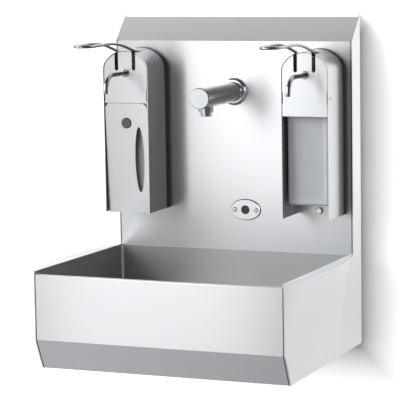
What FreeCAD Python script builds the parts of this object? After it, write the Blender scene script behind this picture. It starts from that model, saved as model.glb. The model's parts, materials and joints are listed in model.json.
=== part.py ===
import FreeCAD, Part
import math
import os

# Wall-hung stainless steel hand wash sink with a tall splashback, a sensor tap and two arm-lever
# dispensers. X runs to the viewer's right, the front faces -Y and Z is up. The wall is the plane y = 0.
# Heights are written from the casing's bottom edge. save() moves every piece down so that the origin
# is the centre of the four wall fixings.

V = FreeCAD.Vector

# ---- Casing ----
width = 500.0
height = 650.0
sheet = 1.5
bend_radius = 1.5
splash_depth = 49.0
top_slope_rise = 50.0
splash_lap = 15.0
top_lip = 20.0
basin_depth = 438.0
apron_drop = 6.0
apron_bend_height = 59.0
toe_setback = 28.0
return_flange = 15.0
apron_hem = 3.4
side_hem = 3.0
seam_gap = 0.8
rim_rear_height = 185.0
rim_front_height = 190.0
rim_rear_width = 5.0
rim_front_width = 3.5
rim_bulge = 25.0
rim_crown = 2.0
crease_toe = 150.0

# ---- Bowl and waste ----
bowl_depth = 97.0
bowl_corner_radius = 4.0
bowl_floor_radius = 3.0
dish_depth = 5.0
dish_radius = 150.0
drain_offset = 1.5
drain_thread_radius = 21.0
drain_bore_radius = 17.0
drain_flange_radius = 35.0
drain_flange_thickness = 2.5
drain_length = 26.0
drain_fit = 0.4
strainer_radius = 30.0
strainer_thickness = 1.5
strainer_hole_radius = 2.6
strainer_holes = 12
strainer_ring_radius = 12.5
gasket_thickness = 2.5
gasket_radius = 33.0
drain_nut_radius = 30.0
drain_nut_height = 8.0
trap_radius = 40.0
trap_height = 44.0
trap_wall = 3.0
trap_neck_height = 7.0
trap_neck_radius = 21.6
dip_tube_wall = 1.5
dip_tube_gap = 8.0
trap_nut_radius = 27.0
trap_nut_height = 16.0
waste_margin = 0.2
waste_radius = 16.0
waste_wall = 2.0
waste_end_step = 0.5
waste_end_margin = 2.0
waste_stub_wall = 3.8
waste_stub_length = 18.0
waste_insert = 8.0
waste_nut_radius = 25.0
waste_nut_length = 16.0

# ---- Wall fixing ----
rail_height = 40.0
rail_thickness = 3.0
lower_fixing_height = 80.0
upper_fixing_drop = 70.0
fixing_spacing = 400.0
fixing_hole_radius = 4.5

# ---- Tap ----
tap_x = 5.0
tap_height = 500.0
tap_reach = 182.0
tap_radius = 20.5
tap_bore_radius = 16.5
tap_web = 8.0
rosette_radius = 27.5
rosette_thickness = 8.0
rosette_edge = 6.5
tap_shank_radius = 10.4
tap_shank_length = 26.0
tap_waterway_radius = 5.0
tap_hole_radius = 12.0
end_cap_thickness = 6.0
end_cap_spigot = 6.0
end_cap_edge = 1.5
nozzle_setback = 35.0
nozzle_collar_radius = 14.0
nozzle_collar_height = 8.0
nozzle_radius = 10.5
nozzle_length = 8.0
nozzle_spigot_radius = 8.9
nozzle_bore_radius = 7.4
nozzle_lip = 1.0
insert_thickness = 5.0
insert_recess = 1.0
insert_hole_radius = 0.9
insert_ring_radius = 4.6
insert_holes = 8
washer_thickness = 2.0
washer_radius = 20.0
tap_nut_radius = 18.0
tap_nut_height = 8.0

# ---- Sensor and controls ----
sensor_x = 26.5
sensor_height = 265.0
sensor_half_length = 31.0
sensor_half_height = 20.5
sensor_plate_thickness = 2.5
sensor_plate_edge = 0.6
sensor_seal_thickness = 0.8
sensor_seal_margin = 0.9
window_radius = 9.0
window_recess = 0.5
sensor_module_radius = 10.0
sensor_module_length = 27.0
sensor_screw_spacing = 45.0
sensor_screw_radius = 2.0
sensor_screw_head_radius = 4.2
sensor_screw_head_height = 1.8
sensor_screw_length = 12.0
sensor_screw_edge = 1.0
sensor_socket_radius = 1.4
sensor_socket_depth = 1.1
control_box_x = -43.0
control_box_height = 365.0
control_box_width = 100.0
control_box_tall = 70.0
control_box_deep = 32.0
control_box_corner = 4.0
plastic_wall = 2.0

# ---- Supply ----
pipe_y = -24.0
pipe_radius = 6.0
pipe_wall = 1.0
pipe_bend = 20.0
supply_x = -150.0
supply_height = 140.0
inlet_thread_radius = 9.5
inlet_thread_length = 12.0
valve_boss_radius = 13.0
valve_arm_radius = 9.0
valve_up = 26.0
valve_down = 22.0
valve_bonnet_radius = 11.0
valve_stem_radius = 4.0
valve_stem_engagement = 6.0
knob_radius = 17.0
knob_thickness = 12.0
knob_hub_radius = 7.0
knob_standoff = 2.0
knob_scallops = 6
knob_scallop_radius = 5.0
knob_scallop_circle = 19.0
knob_hub_proud = 1.5
solenoid_height = 372.0
solenoid_block = 26.0
solenoid_tall = 40.0
solenoid_edge = 1.5
coil_radius = 14.0
coil_length = 34.0
coil_end_wall = 4.0
plunger_radius = 5.0
plunger_length = 32.0
plunger_travel = 2.0
plunger_seat_depth = 6.0
elbow_radius = 13.0
elbow_gap = 1.5

# ---- Dispensers, with heights from their own bottom edge ----
dispenser_spacing = 374.0
dispenser_width = 96.0
dispenser_clearance = 79.0
arch_spring_drop = 19.0
arch_rise = 38.0
arch_shoulder_radius = 28.0
arch_least_crown = 4.0
dispenser_depth = 84.5
wall_plate_depth = 13.5
wall_plate_web = 4.5
wall_plate_skin = 3.0
wall_plate_cap = 1.0
wall_plate_cap_drop = 24.0
plate_boss_radius = 6.0
plate_screw_spacing = 50.0
plate_screw_low = 56.0
plate_screw_high = 256.0
plate_screw_radius = 2.5
plate_screw_head_radius = 4.6
plate_screw_head_height = 3.2
plate_screw_length = 22.0
plate_gap = 0.4
plate_recess = 1.2
cover_gap = 1.2
front_return = 6.5
lock_to_plate = 38.5
plate_step = 20.0
tab_rise = 5.0
tab_length = 19.0
tab_depth = 21.0
tab_relief = 1.0
tab_notch = 1.0
rivet_setback = 13.0
rivet_radius = 2.0
rivet_head_radius = 3.2
rivet_head_height = 0.8
rivet_edge = 0.5
low_hole_radius = 1.6
housing_screw_height = 7.0
housing_screw_radius = 2.5
housing_screw_head_radius = 6.0
housing_screw_head_height = 6.0
housing_screw_length = 8.0
housing_screw_edge = 1.0

# ---- Lever ----
lever_wire_radius = 3.0
lever_half_width = 18.5
lever_pivot_setback = 11.0
lever_pivot_rise = 16.5
lever_slot_width = 7.6
lever_slot_drop = 21.2
lever_notch_depth = 34.0
lever_bush_radius = 6.0
lever_bar_radius = 2.5
lever_bush_overhang = 1.5
lever_axle_radius = 3.0
lever_axle_overrun = 1.0
axle_running_gap = 0.05
lever_hump_reach = 226.0
lever_hump_rise = 38.5
lever_dip_run = 64.0
lever_dip_rise = 36.5
lever_tip_run = 54.0
lever_tip_rise = 36.0
lever_hump_radius = 330.0
lever_dip_radius = 200.0
bracket_sheet = 2.0
bracket_side_gap = 0.5
bracket_tall = 30.0
bracket_ear_radius = 7.0

# ---- Pump, bottle and spout ----
pump_barrel_radius = 13.0
pump_top_rise = 9.5
pump_standing = 50.5
pump_bore_radius = 9.5
pump_bore_depth = 26.0
pump_cap_radius = 21.0
pump_cap_height = 18.0
pump_cap_top = 2.4
pump_cap_edge = 1.2
guide_spare = 2.4
plunger_stem_radius = 4.0
plunger_stem_engagement = 8.0
plunger_head_radius = 11.0
plunger_head_height = 5.5
plunger_head_edge = 1.0
plunger_bar_gap = 0.3
pump_stroke = 10.5
spring_wire_radius = 0.6
spring_mean_radius = 6.9
spring_turns = 7
spring_end_gap = 0.15
suction_radius = 2.5
suction_clearance = 8.0
spout_height = 277.0
spout_radius = 4.5
spout_wall = 1.0
spout_reach = 89.0
spout_drop = 34.0
spout_bend = 30.0
spout_hole_gap = 0.5
spout_collar_radius = 8.0
spout_collar_thickness = 2.5
spout_collar_edge = 1.5
spout_splay = 1.0
bottle_lift = 25.0
bottle_side_gap = 3.0
bottle_rear_gap = 3.5
bottle_front_gap = 7.0
bottle_neck_height = 26.0
bottle_corner_radius = 9.0
bottle_base_radius = 5.0
bottle_top_radius = 8.0
bottle_wall = 1.2
bottle_neck_radius = 17.0
rest_width = 60.0
rest_reach = 50.0
rest_upstand = 28.0

# ---- Soap door ----
door_gap = 1.5
door_top_gap = 0.8
door_lip = 10.0
door_setback = 9.0
door_tilt = 2.1
door_corner_radius = 12.0
door_return = 12.0
door_hinge_setback = 47.0
door_hinge_height = 8.0
door_arm_height = 18.0
door_arm_overrun = 6.0
hinge_pin_radius = 2.5
hinge_pin_length = 7.0
lock_height = 179.5
lock_rim_radius = 10.8
lock_rim_thickness = 1.5
lock_rim_edge = 1.2
lock_plug_recess = 0.3
lock_body_radius = 6.5
lock_body_length = 10.0
lock_plug_radius = 4.0
keyway_width = 2.0
keyway_length = 5.0
keyway_depth = 2.0
cam_length = 44.0
cam_width = 9.0
cam_thickness = 2.0
cam_corner = 4.0
sight_offset = 26.3
sight_low = 42.0
sight_high = 172.0
sight_width = 19.5

# ---- Derived positions ----
overcut = 5.0
near = 1e-4
half = width / 2
inner_half = half - sheet
front_y = -basin_depth
toe_depth = basin_depth - toe_setback
apron_height = rim_front_height - apron_drop
splash_y = -splash_depth
splash_back = splash_y + sheet
splash_bend_height = height - top_slope_rise
upper_fixing_height = height - upper_fixing_drop
origin_height = (lower_fixing_height + upper_fixing_height) / 2

floor_height = rim_rear_height - bowl_depth
drain_y = (splash_y + front_y) / 2 - drain_offset
drain_seat = floor_height - dish_depth
neck_top = drain_seat - drain_length
cup_top = neck_top - trap_neck_height
cup_bottom = cup_top - trap_height
waste_height = cup_top - waste_radius - waste_stub_wall - waste_margin
waste_end_radius = waste_radius - waste_end_step

SOAP = -dispenser_spacing / 2
SANITIZER = dispenser_spacing / 2
dispenser_half = dispenser_width / 2
dispenser_bottom = rim_rear_height + dispenser_clearance
housing_rear = splash_y - wall_plate_depth
housing_front = housing_rear - dispenser_depth
cover_front = housing_front + plate_recess
lock_z = dispenser_bottom + lock_height
soap_plate_bottom = lock_z + lock_to_plate
sanitizer_plate_bottom = soap_plate_bottom - plate_step
tab_low = soap_plate_bottom + tab_rise
tab_high = tab_low + tab_length
spout_z = dispenser_bottom + spout_height
pump_top = spout_z + pump_top_rise
pivot_y = housing_rear - lever_pivot_setback
lever_pivot_height = pump_top + lever_pivot_rise
lever_slot_bottom = lever_pivot_height - lever_slot_drop
lever_dip_reach = lever_hump_reach + lever_dip_run
lever_tip_reach = lever_dip_reach + lever_tip_run
lever_hump_height = lever_pivot_height + lever_hump_rise
lever_dip_height = lever_pivot_height + lever_dip_rise
lever_tip_height = lever_pivot_height + lever_tip_rise
arch_spring_height = lever_pivot_height - arch_spring_drop
wall_plate_cap_height = arch_spring_height - wall_plate_cap_drop
housing_screw_z = dispenser_bottom + housing_screw_height
hinge_z = dispenser_bottom + door_hinge_height
bottle_bottom = dispenser_bottom + bottle_lift
bottle_half_width = dispenser_half - sheet - bottle_side_gap
bottle_half_depth = (dispenser_depth - 2 * sheet - door_setback - bottle_rear_gap - bottle_front_gap) / 2
bottle_neck_top = pump_top - pump_standing
bottle_shoulder_height = bottle_neck_top - bottle_neck_height
pump_setback = sheet + bottle_rear_gap + bottle_half_depth
pump_y = housing_rear - pump_setback


# ---- Shape helpers ----
def block(x0, x1, y0, y1, z0, z1):
    return Part.makeBox(x1 - x0, y1 - y0, z1 - z0, V(x0, y0, z0))


def rod(radius, start, end):
    run = end - start
    return Part.makeCylinder(radius, run.Length, start, run)


def ring(outer, inner, start, end):
    step = (end - start).normalize() * overcut
    return rod(outer, start, end).cut(rod(inner, start - step, end + step))


def hexagon(across_radius, start, end):
    """Hexagonal bar along any axis, as wide over its flats as twice across_radius."""
    run = end - start
    side = run.cross(V(0, 0, 1)) if abs(run.z) < abs(run.x) + abs(run.y) else V(1, 0, 0)
    side = side.normalize() * (across_radius / math.cos(math.pi / 6))
    corners = []
    for index in range(7):
        turn = FreeCAD.Rotation(run, 60.0 * index)
        corners.append(start + turn.multVec(side))
    return Part.Face(Part.makePolygon(corners)).extrude(run)


def hex_nut(across_radius, inner, start, end):
    step = (end - start).normalize() * overcut
    return hexagon(across_radius, start, end).cut(rod(inner, start - step, end + step))


def profile_solid(points, x0, x1):
    """Closed (y, z) outline extruded along X."""
    corners = [V(x0, y, z) for y, z in points]
    corners.append(corners[0])
    return Part.Face(Part.makePolygon(corners)).extrude(V(x1 - x0, 0, 0))


def bent_sheet(points, thickness, side, x0, x1):
    """Sheet bent along (y, z) points. side is 1 for metal to the right of the path, -1 for the left."""
    steps = []
    for start, end in zip(points, points[1:]):
        length = math.hypot(end[0] - start[0], end[1] - start[1])
        steps.append(((end[0] - start[0]) / length, (end[1] - start[1]) / length))
    normals = [(side * dz, -side * dy) for dy, dz in steps]
    offset = []
    for index, point in enumerate(points):
        before = normals[max(index - 1, 0)]
        after = normals[min(index, len(normals) - 1)]
        shared = 1 + before[0] * after[0] + before[1] * after[1]
        offset.append((point[0] + thickness * (before[0] + after[0]) / shared,
                       point[1] + thickness * (before[1] + after[1]) / shared))
    solid = profile_solid(list(points) + offset[::-1], x0, x1)
    for index in range(1, len(points) - 1):
        turn = steps[index - 1][0] * steps[index][1] - steps[index - 1][1] * steps[index][0]
        inside, outside = offset[index], points[index]
        if turn * side > 0:
            inside, outside = outside, inside
        for corner, radius in ((inside, bend_radius), (outside, bend_radius + thickness)):
            solid = solid.makeFillet(radius, edges_at(solid, corner))
    return solid


def edges_at(solid, corner):
    """Edges along X through one (y, z) corner."""
    found = []
    for edge in solid.Edges:
        if all(math.hypot(v.Y - corner[0], v.Z - corner[1]) < near for v in edge.Vertexes):
            found.append(edge)
    return found


def rounded_path(points, radii):
    """Straight runs joined by tangent arcs, as one wire. radii holds one radius per inner point."""
    edges = []
    start = points[0]
    for index in range(1, len(points) - 1):
        corner = points[index]
        back = (points[index - 1] - corner).normalize()
        ahead = (points[index + 1] - corner).normalize()
        half_turn = (math.pi - back.getAngle(ahead)) / 2
        tangent = radii[index - 1] * math.tan(half_turn)
        middle = (back + ahead).normalize()
        centre = corner + middle * (radii[index - 1] / math.cos(half_turn))
        enter = corner + back * tangent
        leave = corner + ahead * tangent
        edges.append(Part.LineSegment(start, enter).toShape())
        edges.append(Part.Arc(enter, centre - middle * radii[index - 1], leave).toShape())
        start = leave
    edges.append(Part.LineSegment(start, points[-1]).toShape())
    return Part.Wire(edges)


def sweep(path, radius):
    """Round bar along a wire."""
    first = path.Edges[0]
    start = first.valueAt(first.FirstParameter)
    direction = first.tangentAt(first.FirstParameter)
    section = Part.Wire(Part.Circle(start, direction, radius).toShape())
    solid = path.makePipeShell([section], True, False)
    return solid if solid.Volume > 0 else solid.reversed()


def joined(*shapes):
    solid = shapes[0]
    for shape in shapes[1:]:
        solid = solid.fuse(shape)
    return solid.removeSplitter()


def save(name, *solids):
    """Write one node, with its heights taken from the origin."""
    shape = solids[0] if len(solids) == 1 else Part.makeCompound(list(solids))
    shape = shape.copy()
    shape.translate(V(0, 0, -origin_height))
    shape.exportStep("parts/" + name + ".step")


# ---- Casing ----
def splash_holes():
    """Everything that is cut through the splash: tap, sensor and dispenser screws."""
    front = splash_y - overcut
    back = splash_back + overcut
    cuts = [rod(tap_hole_radius, V(tap_x, front, tap_height), V(tap_x, back, tap_height))]
    cuts.append(rod(sensor_module_radius + plate_gap, V(sensor_x, front, sensor_height),
                    V(sensor_x, back, sensor_height)))
    for offset in (-sensor_screw_spacing / 2, sensor_screw_spacing / 2):
        cuts.append(rod(sensor_screw_radius + plate_gap, V(sensor_x + offset, front, sensor_height),
                        V(sensor_x + offset, back, sensor_height)))
    for x, z in plate_screw_places():
        cuts.append(rod(plate_screw_radius + plate_gap, V(x, front, z), V(x, back, z)))
    return cuts


def plate_screw_places():
    places = []
    for centre in (SOAP, SANITIZER):
        for offset in (-plate_screw_spacing / 2, plate_screw_spacing / 2):
            for z in (plate_screw_low, plate_screw_high):
                places.append((centre + offset, dispenser_bottom + z))
    return places


def splashback_panel():
    path = [(splash_y, rim_rear_height - splash_lap), (splash_y, splash_bend_height),
            (0.0, height), (0.0, height - top_lip)]
    panel = bent_sheet(path, sheet, 1, -inner_half, inner_half)
    return panel.cut(Part.makeCompound(splash_holes()))


def apron_path():
    return [(front_y, apron_height), (front_y, apron_bend_height), (-toe_depth, 0.0),
            (-toe_depth + return_flange, 0.0)]


def front_apron():
    path = [(front_y + apron_hem, apron_height)] + apron_path()
    reach = half - side_hem - seam_gap
    return bent_sheet(path, sheet, -1, -reach, reach)


def rim_line_x(y):
    """Half width of the bowl's opening at a depth, from the narrow rear to the wider front."""
    share = (splash_y - y) / (splash_y - front_y)
    return half - rim_rear_width + (rim_rear_width - rim_front_width) * share


def side_panel():
    """Right-hand side: a flat L-shaped sheet, a bowed skin beside the bowl, and its rim."""
    flat = profile_solid([(0.0, 0.0), (-crease_toe, 0.0), (splash_y, rim_rear_height),
                          (splash_y, splash_bend_height), (0.0, height)], inner_half, half)
    middle_y = (splash_y + front_y) / 2
    middle_z = (rim_rear_height + rim_front_height) / 2 + rim_crown
    outer_rim = Part.Arc(V(half, splash_y, rim_rear_height), V(half + rim_bulge, middle_y, middle_z),
                         V(half, front_y, rim_front_height)).toShape()
    foot = Part.LineSegment(V(half, -crease_toe, 0), V(half, front_y, 0)).toShape()
    skin = Part.makeRuledSurface(outer_rim, foot).extrude(V(-sheet, 0, 0))
    inner_rim = Part.LineSegment(V(rim_line_x(splash_y), splash_y, rim_rear_height),
                                 V(rim_line_x(front_y), front_y, rim_front_height)).toShape()
    rim = Part.makeRuledSurface(inner_rim, outer_rim).extrude(V(0, 0, -sheet))
    toe = [(front_y, apron_bend_height), (-toe_depth, 0.0), (-toe_depth, -overcut),
           (front_y - overcut, -overcut), (front_y - overcut, apron_bend_height)]
    skin = skin.cut(profile_solid(toe, 0, half + rim_bulge))
    hem_path = [(front_y, rim_front_height - sheet)] + apron_path()[1:3]
    hem = bent_sheet(hem_path, sheet, -1, half - side_hem, half)
    foot_flange = block(half - return_flange, half - sheet / 2, -toe_depth + return_flange, 0.0, 0.0, sheet)
    return joined(flat, skin, rim, hem, foot_flange)


def bowl_block(grow, bottom):
    """Filleted block of the bowl's plan, grown by a margin on its sides and below."""
    rear = splash_y - sheet + grow
    front = front_y + 2 * sheet - grow
    corners = [V(-rim_line_x(rear) - grow, rear, bottom), V(rim_line_x(rear) + grow, rear, bottom),
               V(rim_line_x(front) + grow, front, bottom), V(-rim_line_x(front) - grow, front, bottom)]
    plan = Part.Face(Part.makePolygon(corners + corners[:1]))
    solid = plan.extrude(V(0, 0, rim_front_height + overcut - bottom))
    upright = [e for e in solid.Edges if abs(e.Vertexes[0].X - e.Vertexes[1].X) < near
               and abs(e.Vertexes[0].Y - e.Vertexes[1].Y) < near]
    solid = solid.makeFillet(bowl_corner_radius + grow, upright)
    base = [e for e in solid.Edges if e.BoundBox.ZMax < bottom + near]
    return solid.makeFillet(bowl_floor_radius + grow, base)


def dish(grow):
    """Shallow cone that falls to the waste."""
    return Part.makeCone(drain_flange_radius + sheet + grow, dish_radius + grow, dish_depth,
                         V(0, drain_y, drain_seat - grow))


def basin_bowl():
    outer = bowl_block(sheet, floor_height - sheet).fuse(dish(sheet))
    inner = bowl_block(0.0, floor_height).fuse(dish(0.0))
    shell = outer.cut(inner)
    above = [(overcut, rim_rear_height - sheet), (splash_y, rim_rear_height - sheet),
             (front_y, rim_front_height - sheet), (front_y - overcut, rim_front_height - sheet),
             (front_y - overcut, rim_front_height + 2 * overcut), (overcut, rim_front_height + 2 * overcut)]
    shell = shell.cut(profile_solid(above, -width, width))
    shell = shell.cut(block(-half, half, front_y - overcut, front_y + apron_hem,
                            apron_height - sheet - bend_radius, rim_front_height + overcut))
    hole = rod(drain_thread_radius + drain_fit, V(0, drain_y, drain_seat + overcut),
               V(0, drain_y, drain_seat - sheet - overcut))
    return shell.cut(hole).removeSplitter()


def mounting_rails():
    rails = []
    for z in (lower_fixing_height, upper_fixing_height):
        rail = block(-inner_half, inner_half, -rail_thickness, 0.0, z - rail_height / 2, z + rail_height / 2)
        for x in (-fixing_spacing / 2, fixing_spacing / 2):
            rail = rail.cut(rod(fixing_hole_radius, V(x, -overcut - rail_thickness, z), V(x, overcut, z)))
        rails.append(rail)
    return rails


# ---- Waste and trap ----
def at_drain(z):
    return V(0, drain_y, z)


def drain_body():
    flange = rod(drain_flange_radius, at_drain(drain_seat), at_drain(drain_seat + drain_flange_thickness))
    thread = rod(drain_thread_radius, at_drain(drain_seat - drain_length), at_drain(drain_seat))
    bore = rod(drain_bore_radius, at_drain(drain_seat - drain_length - overcut),
               at_drain(drain_seat + drain_flange_thickness + overcut))
    return joined(flange, thread).cut(bore)


def drain_strainer():
    bottom = drain_seat + drain_flange_thickness
    disc = rod(strainer_radius, at_drain(bottom), at_drain(bottom + strainer_thickness))
    top_edge = [e for e in disc.Edges if e.BoundBox.ZMin > bottom + strainer_thickness / 2]
    disc = disc.makeFillet(strainer_thickness / 2, top_edge)
    holes = []
    rings = ((strainer_holes, strainer_ring_radius), (strainer_holes // 2, strainer_ring_radius / 2))
    for count, circle in rings:
        for index in range(count):
            turn = 2 * math.pi * index / count
            place = V(circle * math.cos(turn), circle * math.sin(turn), 0)
            holes.append(rod(strainer_hole_radius, at_drain(bottom - overcut) + place,
                             at_drain(bottom + overcut) + place))
    return disc.cut(Part.makeCompound(holes))


def drain_fasteners():
    gasket_top = drain_seat - sheet
    nut_top = gasket_top - gasket_thickness
    bore = drain_thread_radius + drain_fit / 4
    gasket = ring(gasket_radius, bore, at_drain(nut_top), at_drain(gasket_top))
    nut = hex_nut(drain_nut_radius, bore, at_drain(nut_top - drain_nut_height), at_drain(nut_top))
    return gasket, nut


def trap_body():
    """Flat bottle trap: a cup, a neck with its dip tube, and an outlet stub towards the wall."""
    stub_end = drain_y + trap_radius + waste_stub_length
    stub_radius = waste_radius + waste_stub_wall
    cup = rod(trap_radius, at_drain(cup_bottom), at_drain(cup_top))
    rims = [e for e in cup.Edges if e.BoundBox.ZMax - e.BoundBox.ZMin < near]
    cup = cup.makeFillet(trap_wall, rims)
    neck = rod(trap_neck_radius, at_drain(cup_top - trap_wall), at_drain(neck_top))
    stub = rod(stub_radius, V(0, drain_y, waste_height), V(0, stub_end, waste_height))
    body = joined(cup, neck, stub)
    cavity = rod(trap_radius - trap_wall, at_drain(cup_bottom + trap_wall), at_drain(cup_top - trap_wall))
    bore = rod(waste_end_radius + drain_fit / 2, V(0, drain_y, waste_height),
               V(0, stub_end + overcut, waste_height))
    body = body.cut(Part.makeCompound([cavity, bore]))
    dip = rod(drain_bore_radius - dip_tube_wall, at_drain(cup_bottom + trap_wall + dip_tube_gap),
              at_drain(neck_top))
    dip_bore = rod(drain_bore_radius - 2 * dip_tube_wall, at_drain(cup_bottom + trap_wall + dip_tube_gap / 2),
                   at_drain(neck_top + overcut))
    return joined(body, dip).cut(dip_bore)


def trap_nuts():
    nut = hex_nut(trap_nut_radius, drain_thread_radius + drain_fit / 4, at_drain(cup_top),
                  at_drain(cup_top + trap_nut_height))
    nut = nut.cut(rod(trap_neck_radius + drain_fit / 4, at_drain(cup_top - overcut), at_drain(neck_top)))
    stub_end = drain_y + trap_radius + waste_stub_length
    start = V(0, stub_end - waste_nut_length / 2, waste_height)
    end = V(0, stub_end + waste_nut_length / 2, waste_height)
    outlet_nut = ring(waste_nut_radius, waste_end_radius + drain_fit / 4, start, end)
    face = V(0, stub_end, waste_height)
    stub_room = rod(waste_radius + waste_stub_wall + drain_fit / 4, start - V(0, overcut, 0), face)
    outlet_nut = outlet_nut.cut(stub_room)
    return nut, outlet_nut


def trap_outlet_pipe():
    """Pipe to the wall. The end that goes into the trap is turned down to fit its nut."""
    stub_end = drain_y + trap_radius + waste_stub_length
    start = V(0, stub_end - waste_insert, waste_height)
    shoulder = V(0, stub_end + waste_nut_length / 2 + waste_end_margin, waste_height)
    wall = V(0, 0, waste_height)
    line = joined(rod(waste_end_radius, start, shoulder), rod(waste_radius, shoulder, wall))
    return line.cut(rod(waste_radius - waste_wall, start - V(0, overcut, 0), wall + V(0, overcut, 0)))


# ---- Tap ----
def at_tap(y):
    return V(tap_x, y, tap_height)


tap_root = splash_y - rosette_thickness
tap_front = splash_y - tap_reach
cap_rear = tap_front + end_cap_thickness
nozzle_y = tap_front + nozzle_setback
collar_bottom = tap_height - tap_radius - nozzle_collar_height
nozzle_bottom = collar_bottom - nozzle_length


def at_nozzle(z):
    return V(tap_x, nozzle_y, z)


def tap_body():
    barrel = rod(tap_radius, at_tap(tap_root), at_tap(cap_rear))
    barrel = barrel.cut(rod(tap_bore_radius, at_tap(tap_root - tap_web), at_tap(cap_rear - overcut)))
    shank = rod(tap_shank_radius, at_tap(tap_root - tap_web / 2), at_tap(splash_y + tap_shank_length))
    body = joined(barrel, shank)
    waterway = rod(tap_waterway_radius, at_tap(tap_root - tap_web - overcut),
                   at_tap(splash_y + tap_shank_length + overcut))
    spout_hole = rod(nozzle_spigot_radius, at_nozzle(tap_height), at_nozzle(collar_bottom))
    return body.cut(Part.makeCompound([waterway, spout_hole]))


def tap_rosette():
    disc = rod(rosette_radius, at_tap(splash_y), at_tap(tap_root))
    front_edge = [e for e in disc.Edges if e.BoundBox.YMax < tap_root + near]
    disc = disc.makeFillet(rosette_edge, front_edge)
    hole = rod(tap_shank_radius + plate_gap / 2, at_tap(splash_y + overcut), at_tap(tap_root - overcut))
    return disc.cut(hole)


def tap_end_cap():
    disc = rod(tap_radius, at_tap(cap_rear), at_tap(tap_front))
    front_edge = [e for e in disc.Edges if e.BoundBox.YMax < tap_front + near]
    disc = disc.makeChamfer(end_cap_edge, front_edge)
    return joined(disc, rod(tap_bore_radius, at_tap(cap_rear + end_cap_spigot), at_tap(cap_rear)))


def aerator_housing():
    collar = rod(nozzle_collar_radius, at_nozzle(collar_bottom), at_nozzle(tap_height - tap_radius / 2))
    collar = collar.cut(rod(tap_radius, at_tap(tap_root), at_tap(tap_front)))
    nozzle = rod(nozzle_radius, at_nozzle(nozzle_bottom), at_nozzle(collar_bottom))
    lip = [e for e in nozzle.Edges if e.BoundBox.ZMax < nozzle_bottom + near]
    nozzle = nozzle.makeFillet(nozzle_lip, lip)
    spigot = rod(nozzle_spigot_radius, at_nozzle(collar_bottom), at_nozzle(tap_height - tap_bore_radius))
    bore = rod(nozzle_bore_radius, at_nozzle(nozzle_bottom - overcut), at_nozzle(tap_height))
    return joined(collar, nozzle, spigot).cut(bore)


def aerator_insert():
    low = nozzle_bottom + insert_recess
    disc = rod(nozzle_bore_radius, at_nozzle(low), at_nozzle(low + insert_thickness))
    holes = [rod(insert_hole_radius, at_nozzle(low - overcut), at_nozzle(low + insert_thickness + overcut))]
    for index in range(insert_holes):
        turn = 2 * math.pi * index / insert_holes
        place = V(insert_ring_radius * math.cos(turn), insert_ring_radius * math.sin(turn), 0)
        holes.append(rod(insert_hole_radius, at_nozzle(low - overcut) + place,
                         at_nozzle(low + insert_thickness + overcut) + place))
    return disc.cut(Part.makeCompound(holes))


def tap_fasteners():
    washer_back = splash_back + washer_thickness
    bore = tap_shank_radius + plate_gap / 4
    washer = ring(washer_radius, bore, at_tap(splash_back), at_tap(washer_back))
    nut = hex_nut(tap_nut_radius, bore, at_tap(washer_back), at_tap(washer_back + tap_nut_height))
    return washer, nut


def pipe(points, bend):
    path = rounded_path(points, [bend] * (len(points) - 2))
    return sweep(path, pipe_radius).cut(sweep(path, pipe_radius - pipe_wall))


def tap_pipe():
    """Pipe from the solenoid valve up and across to an elbow on the tap's shank."""
    start = V(supply_x, pipe_y, solenoid_height + solenoid_tall)
    corner = V(supply_x, pipe_y, tap_height)
    elbow_start = splash_back + washer_thickness + tap_nut_height + elbow_gap
    elbow_end = pipe_y + elbow_radius
    entry = V(tap_x - elbow_radius + pipe_wall, pipe_y, tap_height)
    line = pipe([start, corner, entry], pipe_bend)
    elbow = rod(elbow_radius, at_tap(elbow_start), at_tap(elbow_end))
    socket = rod(tap_shank_radius + plate_gap / 4, at_tap(elbow_start - overcut),
                 at_tap(splash_y + tap_shank_length))
    waterway = rod(tap_waterway_radius, at_tap(elbow_start), at_tap(pipe_y + tap_waterway_radius))
    port = rod(pipe_radius - pipe_wall, V(tap_x - elbow_radius - pipe_wall, pipe_y, tap_height),
               V(tap_x, pipe_y, tap_height))
    return joined(line, elbow).cut(Part.makeCompound([socket, waterway, port]))


# ---- Sensor and controls ----
def at_sensor(offset, y):
    return V(sensor_x + offset, y, sensor_height)


seal_front = splash_y - sensor_seal_thickness
plate_front = seal_front - sensor_plate_thickness


def oval(half_length, half_height, y0, y1):
    """Ellipse on the splash, made from a circle that is scaled to its two half axes."""
    circle = Part.Circle(V(0, 0, 0), V(0, 1, 0), 1.0).toShape()
    scale = FreeCAD.Matrix()
    scale.A11 = half_length
    scale.A33 = half_height
    face = Part.Face(Part.Wire(circle.transformGeometry(scale)))
    face.translate(at_sensor(0, y0))
    return face.extrude(V(0, y1 - y0, 0))


def sensor_bores(radius, y0, y1):
    return [rod(radius, at_sensor(offset, y0), at_sensor(offset, y1))
            for offset in (-sensor_screw_spacing / 2, sensor_screw_spacing / 2)]


def sensor_plate():
    plate = oval(sensor_half_length, sensor_half_height, plate_front, seal_front)
    front_edge = [e for e in plate.Edges if e.BoundBox.YMax < plate_front + near]
    plate = plate.makeChamfer(sensor_plate_edge, front_edge)
    cuts = sensor_bores(sensor_screw_radius + plate_gap / 2, plate_front - overcut, seal_front + overcut)
    cuts.append(rod(window_radius, at_sensor(0, plate_front - overcut), at_sensor(0, seal_front + overcut)))
    return plate.cut(Part.makeCompound(cuts))


def sensor_seal():
    seal = oval(sensor_half_length + sensor_seal_margin, sensor_half_height + sensor_seal_margin,
                seal_front, splash_y)
    cuts = sensor_bores(sensor_screw_radius + plate_gap, seal_front - overcut, splash_y + overcut)
    cuts.append(rod(sensor_module_radius + plate_gap, at_sensor(0, seal_front - overcut),
                    at_sensor(0, splash_y + overcut)))
    return seal.cut(Part.makeCompound(cuts))


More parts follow.
